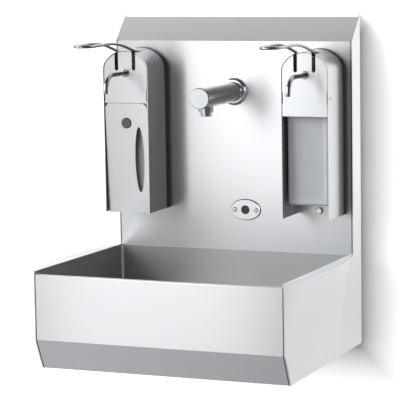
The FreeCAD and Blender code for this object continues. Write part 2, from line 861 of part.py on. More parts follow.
def sensor_screws():
    screws = []
    for offset in (-sensor_screw_spacing / 2, sensor_screw_spacing / 2):
        front = plate_front - sensor_screw_head_height
        head = rod(sensor_screw_head_radius, at_sensor(offset, plate_front), at_sensor(offset, front))
        edge = [e for e in head.Edges if e.BoundBox.YMax < front + near]
        head = head.makeFillet(sensor_screw_edge, edge)
        shank = rod(sensor_screw_radius, at_sensor(offset, plate_front),
                    at_sensor(offset, plate_front + sensor_screw_length))
        socket = hexagon(sensor_socket_radius, at_sensor(offset, front - overcut),
                         at_sensor(offset, front + sensor_socket_depth))
        screws.append(joined(head, shank).cut(socket))
    return screws


def control_box():
    x0 = control_box_x - control_box_width / 2
    x1 = control_box_x + control_box_width / 2
    z0 = control_box_height - control_box_tall / 2
    z1 = control_box_height + control_box_tall / 2
    rear = splash_back + control_box_deep
    box = block(x0, x1, splash_back, rear, z0, z1)
    edges = [e for e in box.Edges if abs(e.Vertexes[0].Y - e.Vertexes[1].Y) > near]
    box = box.makeFillet(control_box_corner, edges)
    room = block(x0 + plastic_wall, x1 - plastic_wall, splash_back + plastic_wall, rear + overcut,
                 z0 + plastic_wall, z1 - plastic_wall)
    lid = block(x0, x1, rear, rear + plastic_wall, z0, z1)
    edges = [e for e in lid.Edges if abs(e.Vertexes[0].Y - e.Vertexes[1].Y) > near]
    return box.cut(room), lid.makeFillet(control_box_corner, edges)


# ---- Supply ----
def at_supply(z):
    return V(supply_x, pipe_y, z)


valve_top = supply_height + valve_up
valve_bottom = supply_height - valve_down
knob_top = valve_bottom - knob_standoff
knob_bottom = knob_top - knob_thickness


def stop_valve_body():
    wall = V(supply_x, 0, supply_height)
    boss = rod(valve_boss_radius, wall - V(0, inlet_thread_length + sheet, 0), wall)
    arm = rod(valve_arm_radius, V(supply_x, pipe_y, supply_height), wall)
    riser = rod(valve_arm_radius, at_supply(supply_height), at_supply(valve_top))
    bonnet = rod(valve_bonnet_radius, at_supply(valve_bottom), at_supply(supply_height + valve_arm_radius))
    body = joined(boss, arm, riser, bonnet)
    thread = rod(inlet_thread_radius, wall - V(0, inlet_thread_length, 0), wall + V(0, overcut, 0))
    way_in = rod(tap_waterway_radius, at_supply(supply_height), wall)
    way_up = rod(tap_waterway_radius, at_supply(supply_height - tap_waterway_radius),
                 at_supply(valve_top + overcut))
    stem = rod(valve_stem_radius + axle_running_gap, at_supply(valve_bottom - overcut),
               at_supply(supply_height))
    return body.cut(Part.makeCompound([thread, way_in, way_up, stem]))


def stop_valve_knob():
    wheel = rod(knob_radius, at_supply(knob_bottom), at_supply(knob_top))
    scallops = []
    for index in range(knob_scallops):
        turn = 2 * math.pi * index / knob_scallops
        place = V(knob_scallop_circle * math.cos(turn), knob_scallop_circle * math.sin(turn), 0)
        scallops.append(rod(knob_scallop_radius, at_supply(knob_bottom - overcut) + place,
                            at_supply(knob_top + overcut) + place))
    wheel = wheel.cut(Part.makeCompound(scallops))
    stem = rod(valve_stem_radius, at_supply(knob_bottom), at_supply(valve_bottom + valve_stem_engagement))
    hub = rod(knob_hub_radius, at_supply(knob_bottom - knob_hub_proud),
              at_supply(knob_top + knob_standoff / 2))
    return joined(wheel, hub, stem)


def inlet_pipe():
    return ring(pipe_radius, pipe_radius - pipe_wall, at_supply(valve_top), at_supply(solenoid_height))


def solenoid_axis(x):
    return V(x, pipe_y, solenoid_height + solenoid_tall / 2)


coil_start = supply_x + solenoid_block / 2
coil_end = coil_start + coil_length
bore_end = coil_end - coil_end_wall
plunger_start = coil_start - plunger_seat_depth


def solenoid_body():
    half_block = solenoid_block / 2
    body = block(supply_x - half_block, coil_start, pipe_y - half_block, pipe_y + half_block,
                 solenoid_height, solenoid_height + solenoid_tall)
    upright = [e for e in body.Edges if abs(e.Vertexes[0].Z - e.Vertexes[1].Z) > near]
    body = body.makeChamfer(solenoid_edge, upright)
    way = rod(tap_waterway_radius, at_supply(solenoid_height - overcut),
              at_supply(solenoid_height + solenoid_tall + overcut))
    seat = rod(plunger_radius + axle_running_gap, solenoid_axis(supply_x),
               solenoid_axis(coil_start + overcut))
    return body.cut(Part.makeCompound([way, seat]))


def solenoid_coil():
    coil = rod(coil_radius, solenoid_axis(coil_start), solenoid_axis(coil_end))
    rims = [e for e in coil.Edges if e.BoundBox.XMax - e.BoundBox.XMin < near]
    coil = coil.makeFillet(solenoid_edge, rims)
    return coil.cut(rod(plunger_radius + axle_running_gap, solenoid_axis(coil_start - overcut),
                        solenoid_axis(bore_end)))


def solenoid_plunger():
    length = min(plunger_length, bore_end - plunger_travel - plunger_start)
    return rod(plunger_radius, solenoid_axis(plunger_start), solenoid_axis(plunger_start + length))


# ---- Dispensers ----
def arch_solid(centre, inset, bottom, y0, y1):
    """Upright slab with an arched top: shoulders and crown are tangent arcs."""
    a = dispenser_half - inset
    rise = arch_rise - inset
    r = min(arch_shoulder_radius - inset, rise - arch_least_crown)
    crown = (a * a + rise * rise - 2 * a * r) / (2 * (rise - r))
    lean = math.atan2(a - r, crown - rise)
    spring = arch_spring_height

    def at(x, z):
        return V(centre + x, y0, z)

    def tangent(side):
        return at(side * crown * math.sin(lean), spring + rise - crown + crown * math.cos(lean))

    def shoulder(side):
        middle = (math.pi / 2 + lean) / 2
        return at(side * (a - r + r * math.sin(middle)), spring + r * math.cos(middle))

    edges = [Part.LineSegment(at(-a, bottom), at(a, bottom)).toShape(),
             Part.LineSegment(at(a, bottom), at(a, spring)).toShape(),
             Part.Arc(at(a, spring), shoulder(1), tangent(1)).toShape(),
             Part.Arc(tangent(1), at(0, spring + rise), tangent(-1)).toShape(),
             Part.Arc(tangent(-1), shoulder(-1), at(-a, spring)).toShape(),
             Part.LineSegment(at(-a, spring), at(-a, bottom)).toShape()]
    return Part.Face(Part.Wire(edges)).extrude(V(0, y1 - y0, 0))


def wall_plate(centre):
    """Black plate between splash and housing, hollow at the back, with four screw bosses."""
    plate = arch_solid(centre, 0.0, dispenser_bottom, housing_rear, splash_y)
    cap = arch_solid(centre, -wall_plate_cap, wall_plate_cap_height, housing_rear, splash_y)
    hollow = arch_solid(centre, wall_plate_skin, dispenser_bottom + wall_plate_skin,
                        housing_rear + wall_plate_web, splash_y + overcut)
    plate = plate.fuse(cap).cut(hollow)
    bosses = []
    bores = []
    for x, z in plate_screw_places():
        if abs(x - centre) < dispenser_half:
            bosses.append(rod(plate_boss_radius, V(x, housing_rear + sheet, z), V(x, splash_y, z)))
            bores.append(rod(plate_screw_radius + plate_gap / 2, V(x, housing_rear - overcut, z),
                             V(x, splash_y + overcut, z)))
            bores.append(rod(plate_screw_head_radius + plate_gap / 2, V(x, housing_rear - overcut, z),
                             V(x, housing_rear + plate_screw_head_height, z)))
    low = V(centre, housing_rear, housing_screw_z)
    bosses.append(rod(plate_boss_radius, low + V(0, sheet, 0), V(centre, splash_y, housing_screw_z)))
    bores.append(rod(housing_screw_radius, low - V(0, overcut, 0), low + V(0, housing_screw_length, 0)))
    for place in bracket_screw_places(centre):
        bores.append(rod(housing_screw_radius, place - V(0, overcut, 0), place + V(0, wall_plate_web, 0)))
    return joined(plate, *bosses).cut(Part.makeCompound(bores))


def bracket_screw_places(centre):
    low = lever_pivot_height - bracket_tall / 2
    return [V(centre + side * (lever_half_width - lever_bush_radius), housing_rear, low) for side in (-1, 1)]


def plate_screws():
    screws = []
    for x, z in plate_screw_places():
        head = rod(plate_screw_head_radius, V(x, housing_rear, z),
                   V(x, housing_rear + plate_screw_head_height, z))
        shank = rod(plate_screw_radius, V(x, housing_rear, z), V(x, housing_rear + plate_screw_length, z))
        screws.append(joined(head, shank))
    return screws


def housing(centre):
    shell = arch_solid(centre, 0.0, dispenser_bottom, housing_rear, housing_front)
    room = arch_solid(centre, sheet, dispenser_bottom - overcut, housing_rear - sheet,
                      housing_front - overcut)
    cuts = []
    for side in (-1, 1):
        x = centre + side * lever_half_width
        cuts.append(block(x - lever_slot_width / 2, x + lever_slot_width / 2, housing_front - overcut,
                          housing_front + lever_notch_depth, lever_slot_bottom,
                          arch_spring_height + arch_rise + overcut))
        wall = centre + side * dispenser_half
        for radius, setback, z in ((rivet_radius, rivet_setback, (tab_low + tab_high) / 2),
                                   (side_hole_radius(centre), door_hinge_setback, hinge_z)):
            y = housing_front + setback
            cuts.append(rod(radius, V(wall - 2 * side * sheet, y, z), V(wall + side * overcut, y, z)))
    low = V(centre, housing_rear, housing_screw_z)
    cuts.append(rod(housing_screw_radius + plate_gap / 2, low - V(0, overcut, 0), low + V(0, overcut, 0)))
    for place in bracket_screw_places(centre):
        cuts.append(rod(housing_screw_radius + plate_gap / 2, place - V(0, overcut, 0),
                        place + V(0, overcut, 0)))
    return shell.cut(room).cut(Part.makeCompound(cuts))


def side_hole_radius(centre):
    return hinge_pin_radius if centre == SOAP else low_hole_radius


def front_plate(centre, bottom):
    """Arched cover with lever slots, a spout hole, side tabs and a folded lower edge. The soap
    side's fold turns down again behind the door."""
    rear = cover_front + sheet
    inset = sheet + cover_gap
    plate = arch_solid(centre, inset, bottom, cover_front, rear)
    a = dispenser_half - inset
    fold = block(centre - a, centre + a, cover_front, rear + front_return, bottom, bottom + sheet)
    solids = [plate, fold]
    if centre == SOAP:
        solids.append(block(centre - a, centre + a, rear + front_return - sheet, rear + front_return,
                            bottom - door_lip, bottom + sheet))
    cuts = []
    for side in (-1, 1):
        beyond = centre + side * (a + overcut)
        outer = centre + side * (a - tab_notch)
        inner = outer - side * sheet
        solids.append(block(min(outer, inner), max(outer, inner), cover_front, cover_front + tab_depth,
                            tab_low, tab_high))
        cuts.append(block(min(beyond, outer), max(beyond, outer), cover_front - overcut,
                          cover_front + 2 * sheet, tab_low, tab_high))
        for z0 in (tab_low - tab_relief, tab_high):
            cuts.append(block(min(beyond, inner), max(beyond, inner), cover_front - overcut,
                              cover_front + 2 * sheet, z0, z0 + tab_relief))
        slot = centre + side * lever_half_width
        cuts.append(block(slot - lever_slot_width / 2, slot + lever_slot_width / 2, cover_front - overcut,
                          rear + overcut, lever_slot_bottom + lever_slot_width / 2,
                          arch_spring_height + arch_rise + overcut))
        low = V(slot, cover_front - overcut, lever_slot_bottom + lever_slot_width / 2)
        cuts.append(rod(lever_slot_width / 2, low, low + V(0, 3 * overcut, 0)))
        y = housing_front + rivet_setback
        z = (tab_low + tab_high) / 2
        cuts.append(rod(rivet_radius, V(inner - side * overcut, y, z), V(beyond, y, z)))
    cuts.append(rod(spout_radius + spout_hole_gap, V(centre, cover_front - overcut, spout_z),
                    V(centre, rear + overcut, spout_z)))
    return joined(*solids).cut(Part.makeCompound(cuts))


def plate_rivets():
    rivets = []
    y = housing_front + rivet_setback
    z = (tab_low + tab_high) / 2
    for centre in (SOAP, SANITIZER):
        for side in (-1, 1):
            wall = centre + side * dispenser_half
            head = rod(rivet_head_radius, V(wall, y, z), V(wall + side * rivet_head_height, y, z))
            outer = [e for e in head.Edges if abs(e.BoundBox.XMax - e.BoundBox.XMin) < near
                     and abs(e.BoundBox.XMax - wall - side * rivet_head_height) < near]
            head = head.makeFillet(rivet_edge, outer)
            shank_end = wall - side * (2 * sheet + cover_gap + tab_notch)
            shank = rod(rivet_radius, V(shank_end, y, z), V(wall, y, z))
            rivets.append(joined(head, shank))
    return rivets


def housing_screws():
    """Knurled screw low on each housing's rear wall, and two small ones through each lever bracket."""
    screws = []
    for centre in (SOAP, SANITIZER):
        face = V(centre, housing_rear - sheet, housing_screw_z)
        head = rod(housing_screw_head_radius, face, face - V(0, housing_screw_head_height, 0))
        tip = face.y - housing_screw_head_height
        head = head.makeFillet(housing_screw_edge, [e for e in head.Edges if e.BoundBox.YMax < tip + near])
        shank = rod(housing_screw_radius, face, V(centre, housing_rear + housing_screw_length,
                                                  housing_screw_z))
        screws.append(joined(head, shank))
        for place in bracket_screw_places(centre):
            seat = place - V(0, sheet + bracket_sheet, 0)
            head = rod(plate_screw_head_radius, seat, seat - V(0, plate_screw_head_height / 2, 0))
            shank = rod(housing_screw_radius, seat, place + V(0, wall_plate_web, 0))
            screws.append(joined(head, shank))
    return screws


# ---- Levers ----
def lever_leg(x):
    """Points of one wire from the pivot to where the end loop starts."""
    slope = V(0, -(lever_tip_reach - lever_dip_reach), lever_tip_height - lever_dip_height).normalize()
    tip = V(x, -lever_tip_reach, lever_tip_height) - slope * lever_half_width
    return [V(x, pivot_y, lever_pivot_height), V(x, -lever_hump_reach, lever_hump_height),
            V(x, -lever_dip_reach, lever_dip_height), tip]


def lever(centre):
    """Bent wire loop on a bush, with a cross bar that presses the pump."""
    left = lever_leg(centre - lever_half_width)
    right = lever_leg(centre + lever_half_width)
    legs = [sweep(rounded_path(leg, [lever_hump_radius, lever_dip_radius]), lever_wire_radius)
            for leg in (left, right)]
    forward = (left[-1] - left[-2]).normalize()
    middle = (left[-1] + right[-1]) / 2 + forward * lever_half_width
    loop = sweep(Part.Wire(Part.Arc(left[-1], middle, right[-1]).toShape()), lever_wire_radius)
    reach = lever_half_width + lever_wire_radius + lever_bush_overhang
    axle = V(centre, pivot_y, lever_pivot_height)
    bush = rod(lever_bush_radius, axle - V(reach, 0, 0), axle + V(reach, 0, 0))
    bar = lever_bar(centre)
    cross = rod(lever_bar_radius, bar - V(lever_half_width, 0, 0), bar + V(lever_half_width, 0, 0))
    body = joined(legs[0], loop, legs[1], bush, cross)
    end = V(reach + overcut, 0, 0)
    return body.cut(rod(lever_axle_radius + axle_running_gap, axle - end, axle + end))


def lever_bar(centre):
    """Centre of the lever's cross bar, on the straight run above the pump."""
    run = V(0, -lever_hump_reach - pivot_y, lever_hump_height - lever_pivot_height)
    share = (pump_y - pivot_y) / run.y
    return V(centre, pump_y, lever_pivot_height + run.z * share)


def lever_bracket(centre):
    """U-shaped bracket on the housing's rear wall, with an ear at each end of the bush."""
    rear = housing_rear - sheet
    inner = lever_half_width + lever_wire_radius + lever_bush_overhang + bracket_side_gap
    outer = inner + bracket_sheet
    low = lever_pivot_height - bracket_tall / 2 - bracket_ear_radius
    top = lever_pivot_height + bracket_ear_radius
    back = block(centre - outer, centre + outer, rear - bracket_sheet, rear, low,
                 lever_pivot_height - lever_bush_radius - bracket_side_gap)
    solids = [back]
    for side in (-1, 1):
        x0 = centre + side * inner
        x1 = centre + side * outer
        ear = rod(bracket_ear_radius, V(x0, pivot_y, lever_pivot_height), V(x1, pivot_y, lever_pivot_height))
        web = block(min(x0, x1), max(x0, x1), pivot_y - bracket_ear_radius, rear, low, lever_pivot_height)
        solids.append(ear)
        solids.append(web)
    shape = joined(*solids)
    end = V(outer + overcut, 0, 0)
    shape = shape.cut(block(centre - end.x, centre + end.x, rear, 0, low, top + overcut))
    axle = V(centre, pivot_y, lever_pivot_height)
    shape = shape.cut(rod(lever_axle_radius, axle - end, axle + end))
    holes = []
    for place in bracket_screw_places(centre):
        holes.append(rod(housing_screw_radius + plate_gap / 2, place - V(0, 2 * overcut, 0), place))
    return shape.cut(Part.makeCompound(holes))


def lever_axle(centre):
    outer = lever_half_width + lever_wire_radius + lever_bush_overhang + bracket_side_gap + bracket_sheet
    axle = V(centre, pivot_y, lever_pivot_height)
    end = V(outer + lever_axle_overrun, 0, 0)
    return rod(lever_axle_radius, axle - end, axle + end)


# ---- Pump, bottle and spout ----
bore_floor = pump_top - pump_bore_depth
cap_bottom = bottle_neck_top - pump_cap_height


def head_top(centre):
    return lever_bar(centre).z - lever_bar_radius - plunger_bar_gap


def at_pump(centre, z):
    return V(centre, pump_y, z)


def pump_body(centre):
    """Cap and barrel of the pump, with its suction tube down to the foot of the bottle."""
    cap = rod(pump_cap_radius, at_pump(centre, cap_bottom), at_pump(centre, bottle_neck_top + pump_cap_top))
    edge = [e for e in cap.Edges if e.BoundBox.ZMin > bottle_neck_top]
    cap = cap.makeFillet(pump_cap_edge, edge)
    cap = cap.cut(rod(bottle_neck_radius + plate_gap / 4, at_pump(centre, cap_bottom - overcut),
                      at_pump(centre, bottle_neck_top)))
    barrel = rod(pump_barrel_radius, at_pump(centre, cap_bottom - overcut), at_pump(centre, pump_top))
    tube = rod(suction_radius, at_pump(centre, bottle_bottom + suction_clearance),
               at_pump(centre, cap_bottom))
    body = joined(cap, barrel, tube)
    well = rod(pump_bore_radius, at_pump(centre, bore_floor), at_pump(centre, pump_top + overcut))
    depth = plunger_stem_engagement + pump_stroke + guide_spare
    guide = rod(plunger_stem_radius + axle_running_gap, at_pump(centre, bore_floor - depth),
                at_pump(centre, bore_floor + overcut))
    return body.cut(Part.makeCompound([well, guide]))


def pump_plunger(centre):
    top = head_top(centre)
    head = rod(plunger_head_radius, at_pump(centre, top - plunger_head_height), at_pump(centre, top))
    rims = [e for e in head.Edges if e.BoundBox.ZMax - e.BoundBox.ZMin < near]
    head = head.makeFillet(plunger_head_edge, rims)
    stem = rod(plunger_stem_radius, at_pump(centre, bore_floor - plunger_stem_engagement),
               at_pump(centre, top - plunger_head_height / 2))
    return joined(head, stem)


def pump_spring(centre):
    """Coil spring between the pump's bore floor and the plunger's head."""
    low = bore_floor + spring_wire_radius + spring_end_gap
    high = head_top(centre) - plunger_head_height - spring_wire_radius - spring_end_gap
    coil = sweep(coil_path(high - low), spring_wire_radius)
    coil.translate(at_pump(centre, low))
    return coil


def coil_path(climb):
    """Helix of the spring. Each half turn is two arcs that meet in line."""
    rise = climb / (2 * math.pi * spring_turns)
    edges = []
    for index in range(2 * spring_turns):
        start, setting_out = coil_place(index * math.pi, rise)
        end, arriving = coil_place((index + 1) * math.pi, rise)
        chord = end - start
        along = chord.dot(setting_out + arriving)
        spread = 2 * (1 - setting_out.dot(arriving))
        reach = (math.sqrt(along * along + spread * chord.dot(chord)) - along) / spread
        first = start + setting_out * reach
        last = end - arriving * reach
        meeting = (first + last) / 2
        edges.append(tangent_arc(start, first, meeting))
        edges.append(tangent_arc(meeting, last, end))
    return Part.Wire(edges)


def coil_place(turn, rise):
    """Point of the spring's helix and its heading there."""
    across = spring_mean_radius * math.cos(turn)
    aside = spring_mean_radius * math.sin(turn)
    return V(across, aside, rise * turn), V(-aside, across, rise).normalize()


def tangent_arc(start, corner, end):
    """Arc between two points whose tangents there cross at the corner."""
    middle = (start + end) / 2
    lean = (start - middle).Length / (start - corner).Length
    return Part.Arc(start, middle + (corner - middle) * (lean / (1 + lean)), end).toShape()


def spout(centre):
    """Bent outlet tube from the pump barrel through the front plate, with a loose collar."""
    end_y = housing_front - spout_reach
    points = [V(centre, pump_y, spout_z), V(centre, end_y, spout_z),
              V(centre, end_y - spout_splay, spout_z - spout_drop)]
    path = rounded_path(points, [spout_bend])
    tube = sweep(path, spout_radius)
    front = cover_front - spout_collar_thickness
    collar = rod(spout_collar_radius, V(centre, cover_front, spout_z), V(centre, front, spout_z))
    collar = collar.makeFillet(spout_collar_edge, [e for e in collar.Edges if e.BoundBox.YMax < front + near])
    barrel = rod(pump_barrel_radius, at_pump(centre, cap_bottom), at_pump(centre, pump_top))
    return joined(tube, collar).cut(sweep(path, spout_radius - spout_wall)).cut(barrel)


def bottle_block(centre, shrink):
    """Rounded body of the bottle, shrunk by a margin for its inside."""
    x = bottle_half_width - shrink
    y = bottle_half_depth - shrink
    low = bottle_bottom + shrink
    high = bottle_shoulder_height - shrink
    solid = block(centre - x, centre + x, pump_y - y, pump_y + y, low, high)
    upright = [e for e in solid.Edges if e.BoundBox.ZMax - e.BoundBox.ZMin > near]
    solid = solid.makeFillet(bottle_corner_radius - shrink, upright)
    base = [e for e in solid.Edges if e.BoundBox.ZMax < low + near]
    solid = solid.makeFillet(bottle_base_radius - shrink, base)
    shoulder = [e for e in solid.Edges if e.BoundBox.ZMin > high - near]
    return solid.makeFillet(bottle_top_radius - shrink, shoulder)


def bottle(centre):
    neck = rod(bottle_neck_radius, at_pump(centre, bottle_shoulder_height - bottle_wall),
               at_pump(centre, bottle_neck_top))
    outer = joined(bottle_block(centre, 0.0), neck)
    mouth = rod(bottle_neck_radius - bottle_wall, at_pump(centre, bottle_shoulder_height - 2 * bottle_wall),
                at_pump(centre, bottle_neck_top + overcut))
    return outer.cut(bottle_block(centre, bottle_wall)).cut(mouth)


def bottle_rest(centre):
    """Bent shelf on the housing's rear wall, under the bottle."""
    rear = housing_rear - sheet
    shelf = bottle_bottom - sheet
    path = [(rear, bottle_bottom + rest_upstand), (rear, shelf), (rear - rest_reach, shelf)]
    return bent_sheet(path, sheet, 1, centre - rest_width / 2, centre + rest_width / 2)


# ---- Soap door ----
door_face = housing_front + door_setback
door_half = dispenser_half - sheet - door_gap
hinge = V(SOAP, housing_front + door_hinge_setback, hinge_z)


def tilted(shape):
    """Lean a door piece forward about the hinge, as the closed door stands."""
    shape = shape.copy()
    shape.rotate(hinge, V(1, 0, 0), door_tilt)
    return shape


def sight_slot():
    """Tall oval opening beside the lock."""
    middle = dispenser_bottom + (sight_low + sight_high) / 2
    x = SOAP + sight_offset
    y = door_face - overcut
    oval_line = Part.Ellipse(V(x, y, dispenser_bottom + sight_high), V(x + sight_width / 2, y, middle),
                             V(x, y, middle))
    return Part.Face(Part.Wire([oval_line.toShape()])).extrude(V(0, 3 * overcut, 0))


def soap_door():
    lean_drop = (hinge.y - door_face) * math.sin(math.radians(door_tilt))
    top = soap_plate_bottom - door_top_gap + lean_drop
    panel = block(SOAP - door_half, SOAP + door_half, door_face, door_face + sheet, dispenser_bottom, top)
    corners = [e for e in panel.Edges if e.BoundBox.ZMin > top - near
               and e.BoundBox.YMax - e.BoundBox.YMin > near]
    panel = panel.makeFillet(door_corner_radius, corners)
    solids = [panel]
    cuts = [sight_slot()]
    for side in (-1, 1):
        outer = SOAP + side * door_half
        inner = outer - side * sheet
        x0 = min(outer, inner)
        x1 = max(outer, inner)
        solids.append(block(x0, x1, door_face, door_face + door_return, dispenser_bottom,
                            top - door_corner_radius))
        solids.append(block(x0, x1, door_face, hinge.y + door_arm_overrun, dispenser_bottom,
                            dispenser_bottom + door_arm_height))
        cuts.append(rod(hinge_pin_radius + axle_running_gap, V(x0 - overcut, hinge.y, hinge.z),
                        V(x1 + overcut, hinge.y, hinge.z)))
    cuts.append(rod(lock_body_radius, V(SOAP, door_face - overcut, lock_z),
                    V(SOAP, door_face + overcut, lock_z)))
    return tilted(joined(*solids).cut(Part.makeCompound(cuts)))


def hinge_pins():
    pins = []
    for side in (-1, 1):
        wall = SOAP + side * dispenser_half
        pins.append(rod(hinge_pin_radius, V(wall, hinge.y, hinge.z),
                        V(wall - side * hinge_pin_length, hinge.y, hinge.z)))
    return pins


def at_lock(y):
    return V(SOAP, y, lock_z)


def soap_door_lock():
    """Barrel of the cam lock, with a thin rim on the door's face."""
    rim = rod(lock_rim_radius, at_lock(door_face), at_lock(door_face - lock_rim_thickness))
    front = door_face - lock_rim_thickness
    rim = rim.makeChamfer(lock_rim_edge, [e for e in rim.Edges if e.BoundBox.YMax < front + near])
    back = door_face + lock_body_length
    body = rod(lock_body_radius, at_lock(door_face), at_lock(back))
    bore = rod(lock_plug_radius + axle_running_gap, at_lock(front - overcut), at_lock(back + overcut))
    return tilted(joined(rim, body).cut(bore))


def soap_lock_cam():
    """Turning plug with its keyway, and the cam behind the barrel, shown unlocked to one side."""
    front = door_face - lock_rim_thickness
    back = door_face + lock_body_length + axle_running_gap
    plug = rod(lock_plug_radius, at_lock(front + lock_plug_recess), at_lock(back + cam_thickness))
    keyway = block(SOAP - keyway_width / 2, SOAP + keyway_width / 2, front - overcut, front + keyway_depth,
                   lock_z - keyway_length / 2, lock_z + keyway_length / 2)
    half_cam = cam_width / 2
    cam = block(SOAP - half_cam, SOAP + cam_reach(), back, back + cam_thickness,
                lock_z - half_cam, lock_z + half_cam)
    cam = cam.makeFillet(cam_corner, [e for e in cam.Edges if e.BoundBox.YMax - e.BoundBox.YMin > near])
    return tilted(joined(plug.cut(keyway), cam))


def cam_reach():
    """Length of the cam from its axis. It clears the door's side while it turns."""
    return min(cam_length, door_half - sheet - door_gap)


def build():
    os.makedirs("parts", exist_ok=True)
    save("splashback_panel", splashback_panel())
    save("front_apron", front_apron())
    save("basin_bowl", basin_bowl())
    right = side_panel()
    save("right_side_panel", right)
    save("left_side_panel", right.mirror(V(0, 0, 0), V(1, 0, 0)))
    save("mounting_rails", *mounting_rails())

    save("drain_body", drain_body())
    save("drain_strainer", drain_strainer())
    gasket, nut = drain_fasteners()
    save("drain_gasket", gasket)
    save("drain_nut", nut)
    save("trap_body", trap_body())
    save("trap_nuts", *trap_nuts())
    save("trap_outlet_pipe", trap_outlet_pipe())

    save("tap_body", tap_body())
    save("tap_rosette", tap_rosette())
    save("tap_end_cap", tap_end_cap())
    save("aerator_housing", aerator_housing())
    save("aerator_insert", aerator_insert())
    washer, nut = tap_fasteners()
    save("tap_seal_washer", washer)
    save("tap_fixing_nut", nut)
    save("tap_pipe", tap_pipe())

    save("sensor_plate", sensor_plate())
    save("sensor_seal", sensor_seal())
    window_front = plate_front + window_recess
    save("sensor_window", rod(window_radius, at_sensor(0, window_front), at_sensor(0, splash_y)))
    save("sensor_screws", *sensor_screws())
    save("sensor_module", rod(sensor_module_radius, at_sensor(0, splash_y),
                              at_sensor(0, splash_y + sensor_module_length)))
    box, lid = control_box()
    save("control_box", box)
    save("control_box_lid", lid)

    save("stop_valve_body", stop_valve_body())
    save("stop_valve_knob", stop_valve_knob())
    save("inlet_pipe", inlet_pipe())
    save("solenoid_body", solenoid_body())
    save("solenoid_coil", solenoid_coil())
    save("solenoid_plunger", solenoid_plunger())

    both = (SOAP, SANITIZER)
    save("wall_plates", *[wall_plate(x) for x in both])
    save("wall_plate_screws", *plate_screws())
    save("housing_screws", *housing_screws())
    save("front_plate_rivets", *plate_rivets())
    save("lever_brackets", *[lever_bracket(x) for x in both])
    save("lever_axles", *[lever_axle(x) for x in both])
    save("bottle_rests", *[bottle_rest(x) for x in both])
    save("pump_bodies", *[pump_body(x) for x in both])
    save("spouts", *[spout(x) for x in both])
    for name, centre, plate_bottom in (("soap", SOAP, soap_plate_bottom),
                                       ("sanitizer", SANITIZER, sanitizer_plate_bottom)):
        save(name + "_housing", housing(centre))
        save(name + "_front_plate", front_plate(centre, plate_bottom))
        save(name + "_lever", lever(centre))
        save(name + "_bottle", bottle(centre))
        save(name + "_pump_plunger", pump_plunger(centre))
        save(name + "_pump_spring", pump_spring(centre))

    save("soap_door", soap_door())
    save("soap_door_hinge_pins", *hinge_pins())
    save("soap_door_lock", soap_door_lock())
    save("soap_lock_cam", soap_lock_cam())


build()
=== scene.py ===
import json
import math

import bpy
from mathutils import Matrix, Vector


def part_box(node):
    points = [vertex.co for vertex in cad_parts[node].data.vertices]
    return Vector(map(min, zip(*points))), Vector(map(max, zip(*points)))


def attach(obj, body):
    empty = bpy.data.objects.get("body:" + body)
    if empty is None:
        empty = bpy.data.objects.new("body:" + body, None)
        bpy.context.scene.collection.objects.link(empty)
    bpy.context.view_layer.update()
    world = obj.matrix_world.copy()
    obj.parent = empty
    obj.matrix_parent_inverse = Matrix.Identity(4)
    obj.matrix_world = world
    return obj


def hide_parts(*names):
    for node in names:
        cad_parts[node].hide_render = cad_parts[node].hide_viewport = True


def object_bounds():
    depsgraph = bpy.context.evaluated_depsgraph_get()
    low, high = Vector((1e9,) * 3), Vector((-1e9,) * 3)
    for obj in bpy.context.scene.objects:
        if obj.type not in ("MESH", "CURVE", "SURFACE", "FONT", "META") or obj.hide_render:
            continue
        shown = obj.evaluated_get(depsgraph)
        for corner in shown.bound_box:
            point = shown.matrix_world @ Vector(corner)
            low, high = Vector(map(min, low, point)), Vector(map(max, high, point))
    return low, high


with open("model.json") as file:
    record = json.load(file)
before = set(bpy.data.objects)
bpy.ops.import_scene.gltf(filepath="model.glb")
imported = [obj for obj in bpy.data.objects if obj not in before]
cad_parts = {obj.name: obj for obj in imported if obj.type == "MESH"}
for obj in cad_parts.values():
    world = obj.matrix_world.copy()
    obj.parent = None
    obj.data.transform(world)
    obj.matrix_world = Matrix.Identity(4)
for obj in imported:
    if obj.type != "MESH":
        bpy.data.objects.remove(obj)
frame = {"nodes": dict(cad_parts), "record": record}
cad_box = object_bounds()
NODES = frame["nodes"]
RIGHT_EDGE = cad_box[1][0]
TOP_EDGE = cad_box[1][2]
ACROSS = Vector((1.0, 0.0, 0.0))
UPWARD = Vector((0.0, 0.0, 1.0))

# ---- Camera ----
CAMERA_AT = (1.47768, -3.76075, 0.47682)
CAMERA_YAW = 0.39554
CAMERA_PITCH = 0.13006
CAMERA_ROLL = -0.01637
LENS = 181.98
SENSOR = 36.0
CLIP_NEAR = 0.1
CLIP_FAR = 100.0

# ---- Sockets of the mix node that have no name of their own ----
MIX_FLOATS = (2, 3)
MIX_COLOURS = (6, 7)
MIX_COLOUR_OUT = 2

# ---- Finishes: scales of their noises, spreads of colour and roughness, depths of bumps in metres ----
NOISE_MIDDLE = (0.3, 0.7)
GRAIN_UPRIGHT = (6.0, 6.0, 1500.0)
GRAIN_LEVEL = (6.0, 1500.0, 6.0)
GRAIN_DETAIL = 4.0
GRAIN_CONTRAST = 0.6
GRAIN_BUMP = 0.00003
GRAIN_AXIS = (0.0, 0.05, 1.0)
LEVEL_FACE = 0.75
STEEL_METALLIC = 0.90
STEEL_TURN = 0.25
STEEL_CLOUD = (2.2, 2.2, 3.0)
STEEL_TINT = (0.98, 1.02)
STEEL_SPREAD = (-0.02, 0.02)
POLISH_CLOUD = (30.0, 30.0, 30.0)
POLISH_MARKS = (90.0, 900.0, 90.0)
POLISH_TINT = (0.96, 1.03)
POLISH_SPREAD = (0.7, 1.5)
POLISH_DEPTH = 0.03
POLISH_BUMP = 0.00002
# across x, where chrome's colour darkens towards the dispensers: painted shade
DISPENSER_SHADE_EDGE = (0.09, 0.11)
PLASTIC_IOR = 1.49
PLASTIC_CLOUD = (14.0, 14.0, 14.0)
PLASTIC_TINT = (0.94, 1.06)
PLASTIC_SPREAD = (-0.05, 0.06)
